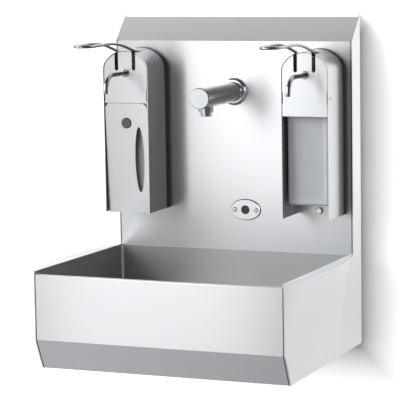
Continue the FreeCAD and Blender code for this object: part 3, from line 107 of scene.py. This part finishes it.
PEBBLE_BUMP = 0.00004
MILKY_CLOUD = (20.0, 20.0, 4.0)
MILKY_FLOW = (240.0, 240.0, 12.0)
MILKY_CLOUD_SHARE = 0.7
MILKY_TINT = (0.93, 1.05)
MILKY_SPREAD = (-0.06, 0.08)
MILKY_WEIGHT = 0.35
MILKY_REACH = 0.004
MILKY_DEPTH = 0.10
MILKY_BUMP = 0.00008

STEELS = {
    "brushed_sheet": dict(colour=(0.755, 0.77, 0.785), rough=0.31, brushed=0.82),
    # the bowl's steel is a darker copy of the sheet steel: painted shade in the basin
    "bowl_steel": dict(colour=(0.585, 0.595, 0.605), rough=0.29, brushed=0.80),
    "rail_steel": dict(colour=(0.60, 0.61, 0.62), rough=0.40),
    "dispenser_steel": dict(colour=(0.68, 0.695, 0.71), rough=0.32, brushed=0.80, depth=0.02),
    "drain_steel": dict(colour=(0.66, 0.67, 0.68), rough=0.24),
}
METALS = {
    # chrome is darkened out at the dispensers: painted shade
    "chrome": dict(colour=(0.62, 0.635, 0.65), rough=0.08, dispenser_shade=0.55),
    "lock_metal": dict(colour=(0.15, 0.15, 0.155), rough=0.34),
    "fastener_steel": dict(colour=(0.56, 0.57, 0.58), rough=0.16),
    "pipe_steel": dict(colour=(0.60, 0.61, 0.62), rough=0.24),
    "brass": dict(colour=(0.70, 0.55, 0.30), rough=0.28),
    "spring_steel": dict(colour=(0.50, 0.51, 0.52), rough=0.25),
}
PLASTICS = {
    "black_plastic": dict(colour=(0.018, 0.020, 0.023), rough=0.28),
    "white_plastic": dict(colour=(0.80, 0.81, 0.81)),
    "grey_plastic": dict(colour=(0.35, 0.36, 0.37)),
    "rubber": dict(colour=(0.030, 0.030, 0.032), rough=0.7, pebble=500.0, depth=0.3),
    "sensor_window": dict(colour=(0.015, 0.015, 0.020), rough=0.08, depth=0.02),
}
MILKIES = {
    "bottle_plastic": dict(colour=(0.60, 0.62, 0.64)),
}

# ---- Bottle ----
BOTTLE_NECK = 0.026
BOTTLE_NECK_RADIUS = 0.017
BOTTLE_BASE = 0.005
BOTTLE_TOP = 0.008
BOTTLE_CORNER = 0.009
BOTTLE_CORNER_SHRINK = 0.6
BOTTLE_LEVELS = 30
EDGE_LEVELS = 8
CORNER_STEPS = 8
SIDE_STEPS = 14
PANEL_BORDER = 0.0075
PANEL_SLOPE = 0.0025
PANEL_DEPTH = 0.0020

# ---- Casing seams: dark strips that paint the shade in the gaps ----
SHEET = 0.0015
SEAM_PROUD = 0.0001
SEAM_TOP = 0.0015
SEAM_OVERLAP = 0.0003
SEAM_WIDTH = 0.0016
SEAM_DEPTH = 0.0012
SEAM_SPLASH = 0.0018
SEAM_SPLASH_DEPTH = 0.0008
APRON_BEND_Z = -0.271
TOE_Y = -0.410
SPLASH_Y = -0.049
RIM_REAR_Z = -0.144
SPLASH_BEND_Z = 0.270

# ---- Rings under the sensor's screws and in the lock's grooves, both painted shade, and knurled screws ----
RING_PROUD = 0.0003
RING_WIDTH = 0.0006
RING_BEVEL = 0.0002
RING_HOLE = 0.6
RING_STEPS = 40
# dark rings on the lock's face: painted shade of its grooves
LOCK_GROOVE_SHADES = (("outer", 0.0081, 0.0095), ("inner", 0.0041, 0.0051))
LOCK_GROOVE_PROUD = 0.0001
LOCK_GROOVE_STEPS = 48
KNURL_HEIGHT = 0.007
KNURL_SETBACK = 0.0006
KNURL_RADIUS = 0.0060
KNURL_TOOTH = 0.0005
KNURL_VALLEY = 0.3
KNURL_BEVEL = 0.0006
KNURL_LENGTH = 0.0042
KNURL_TEETH = 28

# ---- Wall and floor ----
WALL_Y = 0.0006
WALL_PAINT = (0.86, 0.86, 0.87)
# darker wall colour for metal, under the painted reflection glow
WALL_PAINT_FOR_REFLECTIONS = (0.30, 0.30, 0.31)
FLOOR_Z = -1.05
FLOOR_DEPTH = 2.6
FLOOR_CLOUD = (2.0, 2.0, 2.0)
FLOOR_CLOUD_DETAIL = 4.0
FLOOR_ROUGH = 0.8
FLOOR_DARK = (0.46, 0.46, 0.47)
FLOOR_LIGHT = (0.50, 0.50, 0.51)
FLOOR_GLOW = 0.45
FLOOR_GLOW_COLOUR = (1.0, 1.0, 1.0, 1.0)
# painted shadow: the wall's glow for the camera is low beside and below the object and rises away from it
SHADOW_REACH = 0.078
SHADOW_CURVE = 0.62
SHADOW_NARROW = 0.025
SHADOW_DROP = 0.0275
SHADOW_SHORT = 0.0075
PAINTED_SHADOW_GLOW_NEAR = 0.04
PAINTED_SHADOW_GLOW_FAR = 0.80
# painted reflection: the wall's glow for metal, brighter higher up, dimmer behind and far aside of the object
PAINTED_REFLECTION_HIGH = 1.14
PAINTED_REFLECTION_LOW = 0.83
PAINTED_REFLECTION_HEIGHTS = (-0.26, 0.05)
PAINTED_REFLECTION_BEHIND = 0.40
PAINTED_REFLECTION_BEHIND_EDGE = (-0.055, -0.015)
PAINTED_REFLECTION_ASIDE = 0.30
PAINTED_REFLECTION_ASIDE_EDGE = (0.30, 0.80)

# ---- Room and lamps ----
ROOM = 7.0
ROOM_BRIGHT = 0.97
ROOM_DIM = 0.17
ROOM_EDGE = (0.20, -0.14)
ROOM_SEEN = 1.2
OVERHEAD_SHARE = 0.20
OVERHEAD_EDGE = (0.25, 0.95)
KEY_AT = (-3.6, -2.6, 1.7)
KEY_AIM = (0.0, -0.1, 0.0)
KEY_SIZE = (2.4, 2.4)
KEY_POWER = 150.0
SOFTBOX_AT = (-0.345, -1.20, 0.0)
SOFTBOX_AIM = (0.0, -0.3, -0.05)
SOFTBOX_SIZE = (0.47, 1.30)
SOFTBOX_POWER = 0.92
HIGHBOX_AT = (-0.40, -1.25, 0.38)
HIGHBOX_AIM = (0.0, -0.1, -0.10)
HIGHBOX_SIZE = (0.46, 0.50)
HIGHBOX_POWER = 1.15


def link(obj):
    bpy.context.scene.collection.objects.link(obj)
    return obj


def make_camera():
    forward = Vector((-math.sin(CAMERA_YAW) * math.cos(CAMERA_PITCH),
                      math.cos(CAMERA_YAW) * math.cos(CAMERA_PITCH), -math.sin(CAMERA_PITCH)))
    level = Vector((math.cos(CAMERA_YAW), math.sin(CAMERA_YAW), 0.0))
    upright = level.cross(forward)
    right = level * math.cos(CAMERA_ROLL) + upright * math.sin(CAMERA_ROLL)
    up = upright * math.cos(CAMERA_ROLL) - level * math.sin(CAMERA_ROLL)
    data = bpy.data.cameras.new("camera")
    data.lens = LENS
    data.sensor_width = SENSOR
    data.clip_start = CLIP_NEAR
    data.clip_end = CLIP_FAR
    camera = link(bpy.data.objects.new("camera", data))
    turn = Matrix((right, up, -forward)).transposed().to_4x4()
    camera.matrix_world = Matrix.Translation(Vector(CAMERA_AT)) @ turn
    bpy.context.scene.camera = camera


# ---- Node helpers ----
class Nodes:
    """Short names for building the node tree of a material or of the world."""

    def __init__(self, owner, output="ShaderNodeOutputMaterial"):
        self.owner = owner
        owner.use_nodes = True
        self.tree = owner.node_tree
        self.tree.nodes.clear()
        self.output = self.new(output)

    def new(self, kind, **values):
        node = self.tree.nodes.new(kind)
        for key, value in values.items():
            setattr(node, key, value)
        return node

    def wire(self, source, target):
        self.tree.links.new(source, target)

    def show(self, surface):
        self.wire(surface, self.output.inputs["Surface"])

    def math(self, operation, first, second=0.0, clamp=False):
        node = self.new("ShaderNodeMath", operation=operation, use_clamp=clamp)
        for socket, value in zip(node.inputs, (first, second)):
            if isinstance(value, (int, float)):
                socket.default_value = value
            else:
                self.wire(value, socket)
        return node.outputs[0]

    def coordinates(self, kind="Object"):
        return self.new("ShaderNodeTexCoord").outputs[kind]

    def split(self, vector):
        node = self.new("ShaderNodeSeparateXYZ")
        self.wire(vector, node.inputs[0])
        return node.outputs

    def noise(self, scale, detail=3.0, roughness=0.5):
        """Noise over the object, stretched by a scale along each axis."""
        mapping = self.new("ShaderNodeMapping")
        mapping.inputs["Scale"].default_value = scale
        self.wire(self.coordinates(), mapping.inputs["Vector"])
        node = self.new("ShaderNodeTexNoise")
        node.inputs["Scale"].default_value = 1.0
        node.inputs["Detail"].default_value = detail
        node.inputs["Roughness"].default_value = roughness
        self.wire(mapping.outputs[0], node.inputs["Vector"])
        return node.outputs["Fac"]

    def ramp(self, value, edge, low, high, kind="SMOOTHSTEP"):
        """A number that runs from low to high as value runs from the first to the second of edge."""
        node = self.new("ShaderNodeMapRange", interpolation_type=kind)
        limits = {"From Min": edge[0], "From Max": edge[1], "To Min": low, "To Max": high}
        for socket, amount in limits.items():
            node.inputs[socket].default_value = amount
        self.wire(value, node.inputs["Value"])
        return node.outputs[0]

    def between(self, factor, low, high):
        """A number that runs from low to high over the middle of a noise."""
        return self.ramp(factor, NOISE_MIDDLE, low, high, "LINEAR")

    def blend(self, first, second, share):
        """A sum of two numbers, with that share of the first and the rest of the second."""
        return self.math("ADD", self.math("MULTIPLY", first, share),
                         self.math("MULTIPLY", second, 1.0 - share))

    def choose(self, factor, first, second):
        node = self.new("ShaderNodeMix", data_type="FLOAT")
        self.wire(factor, node.inputs[0])
        for socket, value in zip(MIX_FLOATS, (first, second)):
            self.wire(value, node.inputs[socket])
        return node.outputs[0]

    def tint(self, factor, dark, light):
        node = self.new("ShaderNodeMix", data_type="RGBA")
        self.wire(factor, node.inputs[0])
        for socket, colour in zip(MIX_COLOURS, (dark, light)):
            node.inputs[socket].default_value = (*colour, 1.0)
        return node.outputs[MIX_COLOUR_OUT]

    def vary(self, factor, colour, shares):
        """A colour that runs over the middle of a noise from one share of itself to another."""
        return self.tint(self.between(factor, 0.0, 1.0), shade(colour, shares[0]), shade(colour, shares[1]))

    def bump(self, height, strength, distance):
        node = self.new("ShaderNodeBump")
        node.inputs["Strength"].default_value = strength
        node.inputs["Distance"].default_value = distance
        self.wire(height, node.inputs["Height"])
        return node.outputs[0]

    def principled(self, **values):
        node = self.new("ShaderNodeBsdfPrincipled")
        for key, value in values.items():
            node.inputs[key.replace("_", " ")].default_value = value
        self.show(node.outputs[0])
        return node

    def one_sided(self, surface):
        """Show a surface from its front only, and let it be looked through from behind."""
        clear = self.new("ShaderNodeBsdfTransparent")
        geometry = self.new("ShaderNodeNewGeometry")
        mix = self.new("ShaderNodeMixShader")
        self.wire(geometry.outputs["Backfacing"], mix.inputs[0])
        self.wire(surface, mix.inputs[1])
        self.wire(clear.outputs[0], mix.inputs[2])
        self.show(mix.outputs[0])


def shade(colour, share):
    return tuple(min(1.0, c * share) for c in colour)


def material_nodes(name):
    return Nodes(bpy.data.materials.new(name))


# ---- Materials ----
def brushed_steel(name, colour, rough, brushed=0.45, depth=0.04):
    """Steel with a level grain on upright faces, and a grain along X on level ones."""
    n = material_nodes(name)
    shader = n.principled(Metallic=STEEL_METALLIC, Anisotropic=brushed, Anisotropic_Rotation=STEEL_TURN,
                          Roughness=rough)
    upright = n.noise(GRAIN_UPRIGHT, GRAIN_DETAIL, GRAIN_CONTRAST)
    level = n.noise(GRAIN_LEVEL, GRAIN_DETAIL, GRAIN_CONTRAST)
    normal = n.new("ShaderNodeNewGeometry").outputs["Normal"]
    steep = n.math("GREATER_THAN", n.math("ABSOLUTE", n.split(normal)["Z"]), LEVEL_FACE)
    streak = n.choose(steep, upright, level)
    wear = n.blend(streak, n.noise(STEEL_CLOUD), 0.5)
    n.wire(n.vary(streak, colour, STEEL_TINT), shader.inputs["Base Color"])
    n.wire(n.between(wear, rough + STEEL_SPREAD[0], rough + STEEL_SPREAD[1]), shader.inputs["Roughness"])
    n.wire(n.bump(streak, depth, GRAIN_BUMP), shader.inputs["Normal"])
    cross = n.new("ShaderNodeVectorMath", operation="CROSS_PRODUCT")
    cross.inputs[0].default_value = GRAIN_AXIS
    n.wire(normal, cross.inputs[1])
    n.wire(cross.outputs[0], shader.inputs["Tangent"])
    return n.owner


def polished(name, colour, rough, dispenser_shade=1.0):
    """Plated or polished metal with faint wiping marks. Its colour can be darkened out at the dispensers:
    painted shade.
    """
    n = material_nodes(name)
    shader = n.principled(Metallic=1.0, Roughness=rough)
    cloud = n.noise(POLISH_CLOUD, detail=5.0)
    marks = n.noise(POLISH_MARKS, detail=4.0)
    aside = n.math("ABSOLUTE", n.split(n.coordinates())["X"])
    # colour with its random tone, darkened out at the dispensers as painted shade
    shaded_tone = n.new("ShaderNodeVectorMath", operation="SCALE")
    n.wire(n.vary(cloud, colour, POLISH_TINT), shaded_tone.inputs[0])
    n.wire(n.ramp(aside, DISPENSER_SHADE_EDGE, 1.0, dispenser_shade, "LINEAR"), shaded_tone.inputs["Scale"])
    n.wire(shaded_tone.outputs[0], shader.inputs["Base Color"])
    wear = n.blend(cloud, marks, 0.5)
    n.wire(n.between(wear, rough * POLISH_SPREAD[0], rough * POLISH_SPREAD[1]), shader.inputs["Roughness"])
    n.wire(n.bump(marks, POLISH_DEPTH, POLISH_BUMP), shader.inputs["Normal"])
    return n.owner


def plastic(name, colour, rough=0.42, pebble=900.0, depth=0.15):
    """Moulded plastic or rubber with a fine pebble."""
    n = material_nodes(name)
    shader = n.principled(Roughness=rough, IOR=PLASTIC_IOR)
    cloud = n.noise(PLASTIC_CLOUD, detail=4.0)
    grain = n.noise((pebble, pebble, pebble), detail=2.0)
    n.wire(n.vary(cloud, colour, PLASTIC_TINT), shader.inputs["Base Color"])
    n.wire(n.between(cloud, rough + PLASTIC_SPREAD[0], rough + PLASTIC_SPREAD[1]), shader.inputs["Roughness"])
    n.wire(n.bump(grain, depth, PEBBLE_BUMP), shader.inputs["Normal"])
    return n.owner


def milky(name, colour, rough=0.38):
    """Blow-moulded bottle plastic that lets a little light into itself."""
    n = material_nodes(name)
    shader = n.principled(Roughness=rough, IOR=PLASTIC_IOR, Subsurface_Weight=MILKY_WEIGHT,
                          Subsurface_Scale=MILKY_REACH, Subsurface_Radius=(1.0, 1.0, 1.0))
    cloud = n.noise(MILKY_CLOUD)
    flow = n.noise(MILKY_FLOW)
    body = n.blend(cloud, flow, MILKY_CLOUD_SHARE)
    n.wire(n.vary(body, colour, MILKY_TINT), shader.inputs["Base Color"])
    n.wire(n.between(cloud, rough + MILKY_SPREAD[0], rough + MILKY_SPREAD[1]), shader.inputs["Roughness"])
    n.wire(n.bump(flow, MILKY_DEPTH, MILKY_BUMP), shader.inputs["Normal"])
    return n.owner


def make_materials():
    makers = ((brushed_steel, STEELS), (polished, METALS), (plastic, PLASTICS), (milky, MILKIES))
    made = {}
    for maker, finishes in makers:
        for name, values in finishes.items():
            made[name] = maker(name, **values)
    return made


def dress_frame():
    """Every CAD node gets the finish of its own slot in the record. The bowl gets a darker copy of the sheet
    steel, painted shade.
    """
    for part in frame["record"]["subparts"]:
        # the bowl's darker steel is painted shade
        finish = "bowl_steel" if part["node"] == "basin_bowl" else part["material_slot"]
        for place in NODES[part["node"]].material_slots:
            place.material = MATERIALS[finish]


# ---- Pieces ----
def loft(rings, closed):
    """Vertices and quads through rings that have the same number of points, with or without end faces."""
    count = len(rings[0])
    verts = [point for ring in rings for point in ring]
    faces = []
    for base in range(0, len(verts) - count, count):
        for k in range(count):
            after = (k + 1) % count
            faces.append((base + k, base + after, base + count + after, base + count + k))
    if closed:
        faces.append(tuple(range(count))[::-1])
        faces.append(tuple(range(len(verts) - count, len(verts))))
    return verts, faces


def add_piece(name, rings, slot, body="root", node=None, closed=True, smooth=True):
    """A lofted mesh that rides on a body, takes its finish from a slot and may stand for a CAD node."""
    verts, faces = loft(rings, closed)
    mesh = bpy.data.meshes.new(name)
    mesh.from_pydata([tuple(v) for v in verts], [], faces)
    mesh.validate()
    for face in mesh.polygons:
        face.use_smooth = smooth
    mesh.materials.append(MATERIALS[slot])
    piece = link(bpy.data.objects.new(name, mesh))
    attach(piece, body)
    if node:
        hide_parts(node)


def circle(centre, radius, steps, upward=UPWARD):
    """Points round a centre, in the plane of X and the upward direction."""
    angles = [2.0 * math.pi * k / steps for k in range(steps)]
    return [centre + ACROSS * radius * math.cos(a) + upward * radius * math.sin(a) for a in angles]


def rounded_plan(half_x, half_y, radius):
    """Points around a rounded rectangle, with extra ones along its sides."""
    arcs = []
    for sx, sy, turn in ((1, 1, 0.0), (-1, 1, 0.5), (-1, -1, 1.0), (1, -1, 1.5)):
        angles = [(turn + 0.5 * k / CORNER_STEPS) * math.pi for k in range(CORNER_STEPS + 1)]
        arcs.append([(sx * (half_x - radius) + radius * math.cos(a),
                      sy * (half_y - radius) + radius * math.sin(a)) for a in angles])
    points = []
    for arc, following in zip(arcs, arcs[1:] + arcs[:1]):
        points += arc
        start = arc[-1]
        end = following[0]
        for k in range(1, SIDE_STEPS):
            share = k / SIDE_STEPS
            points.append((start[0] * (1 - share) + end[0] * share,
                           start[1] * (1 - share) + end[1] * share))
    return points


def bottle_profile(bottom, shoulder):
    """Heights up the bottle's body, each with how far its wall is drawn in there."""
    quarter = [k / (EDGE_LEVELS - 1) * math.pi / 2 for k in range(EDGE_LEVELS)]
    rise = shoulder - BOTTLE_TOP - bottom - BOTTLE_BASE
    profile = [(bottom + BOTTLE_BASE * (1 - math.cos(a)), BOTTLE_BASE * (1 - math.sin(a))) for a in quarter]
    profile += [(bottom + BOTTLE_BASE + rise * k / BOTTLE_LEVELS, 0.0) for k in range(1, BOTTLE_LEVELS)]
    profile += [(shoulder - BOTTLE_TOP * (1 - math.sin(a)), BOTTLE_TOP * (1 - math.cos(a))) for a in quarter]
    return profile


def panel_slope(inside):
    """How far a panel is sunk, from 0 at its edge to 1 at the foot of its slope."""
    share = min(1.0, max(0.0, inside / PANEL_SLOPE))
    return share * share * (3.0 - 2.0 * share)


def make_bottle(name, node):
    """Blow-moulded bottle: rounded body, sunk panels front and back, and a neck."""
    low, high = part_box(node)
    centre_x, centre_y = (low[0] + high[0]) / 2, (low[1] + high[1]) / 2
    half_x, half_y = (high[0] - low[0]) / 2, (high[1] - low[1]) / 2
    shoulder = high[2] - BOTTLE_NECK
    rings = []
    for z, inset in bottle_profile(low[2], shoulder):
        corner = BOTTLE_CORNER - min(inset, BOTTLE_CORNER * BOTTLE_CORNER_SHRINK)
        ring = []
        for x, y in rounded_plan(half_x - inset, half_y - inset, corner):
            inside = (panel_slope(half_x - PANEL_BORDER - abs(x))
                      * panel_slope(z - low[2] - PANEL_BORDER)
                      * panel_slope(shoulder - PANEL_BORDER - z))
            sink = PANEL_DEPTH * inside if abs(y) > half_y - PANEL_DEPTH else 0.0
            ring.append((centre_x + x, centre_y + y - math.copysign(sink, y), z))
        rings.append(ring)
    angles = [math.atan2(point[1] - centre_y, point[0] - centre_x) for point in rings[-1]]
    for z in (shoulder, high[2]):
        rings.append([(centre_x + BOTTLE_NECK_RADIUS * math.cos(a),
                       centre_y + BOTTLE_NECK_RADIUS * math.sin(a), z) for a in angles])
    add_piece(name, rings, "bottle_plastic", node=node)


def strip(name, line, x0, x1, thickness):
    """Flat bead between two x, along a line of (y, z) points, thickness deep into +Y."""
    rings = [[(x0, y, z), (x1, y, z), (x1, y + thickness, z), (x0, y + thickness, z)] for y, z in line]
    # the strips take the black rubber finish: painted shade
    add_piece(name, rings, "rubber", smooth=False)


def make_seam_shades():
    """Dark strips between the apron and each side panel, and between the splash and each side: painted shade
    of the gaps.
    """
    low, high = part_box("front_apron")
    front = [(low[1] - SEAM_PROUD, high[2] - SEAM_TOP), (low[1] - SEAM_PROUD, APRON_BEND_Z),
             (TOE_Y - SEAM_PROUD, low[2] + SEAM_PROUD)]
    edge = high[0]
    splash_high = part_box("splashback_panel")[1]
    face = SPLASH_Y - SEAM_PROUD
    back = [(face, RIM_REAR_Z), (face, SPLASH_BEND_Z), (-SHEET, splash_high[2] - SHEET)]
    inner = splash_high[0]
    for side, name in ((-1, "left"), (1, "right")):
        strip("seam_shade_front_" + name, front,
              side * (edge - SEAM_OVERLAP), side * (edge + SEAM_WIDTH), SEAM_DEPTH)
        strip("seam_shade_splash_" + name, back,
              side * (inner - SEAM_SPLASH), side * inner, SEAM_SPLASH_DEPTH)


def make_screw_shade_rings():
    """Dark rings under the heads of the sensor plate's screws: painted shade round the heads."""
    low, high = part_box("sensor_screws")
    plate_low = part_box("sensor_plate")[0]
    z = (low[2] + high[2]) / 2
    radius = (high[2] - low[2]) / 2
    hole = radius * RING_HOLE
    rim = radius + RING_WIDTH
    outline = ((hole, 0.0), (hole, RING_PROUD), (rim, RING_PROUD), (rim + RING_BEVEL, 0.0))
    for x, name in ((low[0] + radius, "left"), (high[0] - radius, "right")):
        rings = [circle(Vector((x, plate_low[1] - proud, z)), r, RING_STEPS) for r, proud in outline]
        # black rubber rings: painted shade
        add_piece("sensor_screw_shade_" + name, rings, "rubber", closed=False)


def make_lock_groove_shades():
    """Dark rings on the lock's face, round its rim and round its plug: painted shade of turned grooves."""
    joint = next(j for j in frame["record"]["behaviour"]["joints"] if j["name"] == "soap_lock_turn")
    axis = Vector(joint["axis"]).normalized()
    upward = axis.cross(ACROSS)
    centre = Vector(joint["pos_m"])
    reach = max(axis.dot(v.co) for v in NODES["soap_door_lock"].data.vertices)
    face = centre + axis * (reach - axis.dot(centre))
    proud = face + axis * LOCK_GROOVE_PROUD
    for name, inner, outer in LOCK_GROOVE_SHADES:
        outline = ((face, inner), (proud, inner), (proud, outer), (face, outer))
        rings = [circle(place, r, LOCK_GROOVE_STEPS, upward) for place, r in outline]
        # black rubber rings: painted shade
        add_piece("lock_groove_shade_" + name, rings, "rubber", "door", closed=False)


def make_knurls():
    """Knurled rims on the two screws low in the housings."""
    outline = ((0.0, 0.0), (KNURL_BEVEL, KNURL_TOOTH), (KNURL_LENGTH - KNURL_BEVEL, KNURL_TOOTH),
               (KNURL_LENGTH, 0.0))
    for name, node in (("knurl_left", "soap_housing"), ("knurl_right", "sanitizer_housing")):
        low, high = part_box(node)
        x = (low[0] + high[0]) / 2
        y = high[1] - SHEET - KNURL_SETBACK
        z = low[2] + KNURL_HEIGHT
        rings = []
        for depth, swell in outline:
            ring = []
            for k in range(2 * KNURL_TEETH):
                angle = math.pi * k / KNURL_TEETH
                radius = KNURL_RADIUS + (swell if k % 2 else swell * KNURL_VALLEY)
                ring.append((x + radius * math.cos(angle), y - depth, z + radius * math.sin(angle)))
            rings.append(ring)
        add_piece(name, rings, "fastener_steel", smooth=False)


# ---- Studio ----
def wall_material():
    """White wall. The camera sees a painted shadow on it round the object, and metal sees it glow as a
    painted reflection, brighter higher up and dimmer behind and far aside of the object.
    """
    n = material_nodes("wall")
    place = n.split(n.coordinates())
    path = n.new("ShaderNodeLightPath")
    mirrored = n.math("MAXIMUM", path.outputs["Is Glossy Ray"], path.outputs["Is Transmission Ray"])
    paint = n.new("ShaderNodeBsdfDiffuse")
    n.wire(n.tint(mirrored, WALL_PAINT, WALL_PAINT_FOR_REFLECTIONS), paint.inputs["Color"])
    # painted shadow round the object, seen by the camera
    beside = n.math("SUBTRACT", n.math("ABSOLUTE", place["X"]), RIGHT_EDGE - SHADOW_NARROW)
    height = n.math("ABSOLUTE", n.math("ADD", place["Z"], SHADOW_DROP))
    beyond = n.math("MAXIMUM", beside, n.math("SUBTRACT", height, TOP_EDGE - SHADOW_SHORT))
    fade = n.math("POWER", n.math("DIVIDE", beyond, SHADOW_REACH, clamp=True), SHADOW_CURVE)
    painted_shadow_glow = n.math("ADD", n.math("MULTIPLY", fade, PAINTED_SHADOW_GLOW_FAR - PAINTED_SHADOW_GLOW_NEAR), PAINTED_SHADOW_GLOW_NEAR)
    seen = n.math("MULTIPLY", path.outputs["Is Camera Ray"], painted_shadow_glow)
    # painted reflection glow for metal, by height and by distance from the object
    painted_reflection_lift = n.ramp(place["Z"], PAINTED_REFLECTION_HEIGHTS, PAINTED_REFLECTION_LOW, PAINTED_REFLECTION_HIGH)
    behind = n.ramp(beyond, PAINTED_REFLECTION_BEHIND_EDGE, PAINTED_REFLECTION_BEHIND, 1.0)
    aside = n.ramp(beyond, PAINTED_REFLECTION_ASIDE_EDGE, 1.0, PAINTED_REFLECTION_ASIDE)
    near = n.math("MULTIPLY", n.math("MULTIPLY", behind, aside), painted_reflection_lift)
    glow = n.new("ShaderNodeEmission")
    n.wire(n.math("ADD", seen, n.math("MULTIPLY", mirrored, near)), glow.inputs["Strength"])
    add = n.new("ShaderNodeAddShader")
    n.wire(paint.outputs[0], add.inputs[0])
    n.wire(glow.outputs[0], add.inputs[1])
    n.one_sided(add.outputs[0])
    return n.owner


def floor_material():
    """Pale matt floor that glows a little for the camera alone."""
    n = material_nodes("floor")
    paint = n.principled(Roughness=FLOOR_ROUGH, Emission_Color=FLOOR_GLOW_COLOUR)
    cloud = n.noise(FLOOR_CLOUD, FLOOR_CLOUD_DETAIL)
    n.wire(n.tint(n.between(cloud, 0.0, 1.0), FLOOR_DARK, FLOOR_LIGHT), paint.inputs["Base Color"])
    seen = n.new("ShaderNodeLightPath").outputs["Is Camera Ray"]
    n.wire(n.math("MULTIPLY", seen, FLOOR_GLOW), paint.inputs["Emission Strength"])
    n.one_sided(paint.outputs[0])
    return n.owner


def stage_plane(name, corners, material):
    mesh = bpy.data.meshes.new(name)
    mesh.from_pydata(corners, [], [tuple(range(len(corners)))])
    mesh.materials.append(material)
    obj = link(bpy.data.objects.new(name, mesh))


def make_stage():
    top = ROOM + FLOOR_Z
    foot_left = (-ROOM, WALL_Y, FLOOR_Z)
    foot_right = (ROOM, WALL_Y, FLOOR_Z)
    wall = [foot_left, foot_right, (ROOM, WALL_Y, top), (-ROOM, WALL_Y, top)]
    floor = [foot_left, (-ROOM, -FLOOR_DEPTH, FLOOR_Z), (ROOM, -FLOOR_DEPTH, FLOOR_Z), foot_right]
    stage_plane("wall", wall, wall_material())
    stage_plane("floor", floor, floor_material())


def area_light(name, place, target, size, power):
    data = bpy.data.lights.new(name, "AREA")
    data.shape = "RECTANGLE"
    data.size = size[0]
    data.size_y = size[1]
    data.energy = power
    light = link(bpy.data.objects.new(name, data))
    light.location = place
    light.rotation_mode = "QUATERNION"
    light.rotation_quaternion = (Vector(target) - Vector(place)).to_track_quat("-Z", "Y")
    return light


def make_lights():
    """A key lamp far to the left, and two near boxes that the camera itself doesn't see."""
    area_light("key", KEY_AT, KEY_AIM, KEY_SIZE, KEY_POWER)
    softbox = area_light("softbox", SOFTBOX_AT, SOFTBOX_AIM, SOFTBOX_SIZE, SOFTBOX_POWER)
    highbox = area_light("highbox", HIGHBOX_AT, HIGHBOX_AIM, HIGHBOX_SIZE, HIGHBOX_POWER)
    softbox.visible_camera = False
    highbox.visible_camera = False


def make_world():
    """Soft room: white for the camera, bright to the left, dim to the right, dimmer overhead."""
    world = bpy.data.worlds.new("studio")
    bpy.context.scene.world = world
    n = Nodes(world, "ShaderNodeOutputWorld")
    background = n.new("ShaderNodeBackground")
    n.show(background.outputs[0])
    towards = n.split(n.coordinates("Generated"))
    left = n.ramp(towards["X"], ROOM_EDGE, ROOM_DIM, ROOM_BRIGHT)
    above = n.ramp(towards["Z"], OVERHEAD_EDGE, 1.0, OVERHEAD_SHARE)
    seen = n.math("MULTIPLY", n.new("ShaderNodeLightPath").outputs["Is Camera Ray"], ROOM_SEEN)
    n.wire(n.math("MAXIMUM", seen, n.math("MULTIPLY", left, above)), background.inputs["Strength"])


make_camera()
MATERIALS = make_materials()
dress_frame()
make_bottle("soap_bottle_shell", "soap_bottle")
make_bottle("sanitizer_bottle_shell", "sanitizer_bottle")
make_seam_shades()
make_screw_shade_rings()
make_lock_groove_shades()
make_knurls()
make_stage()
make_lights()
make_world()
bpy.context.scene.view_settings.view_transform = "Standard"
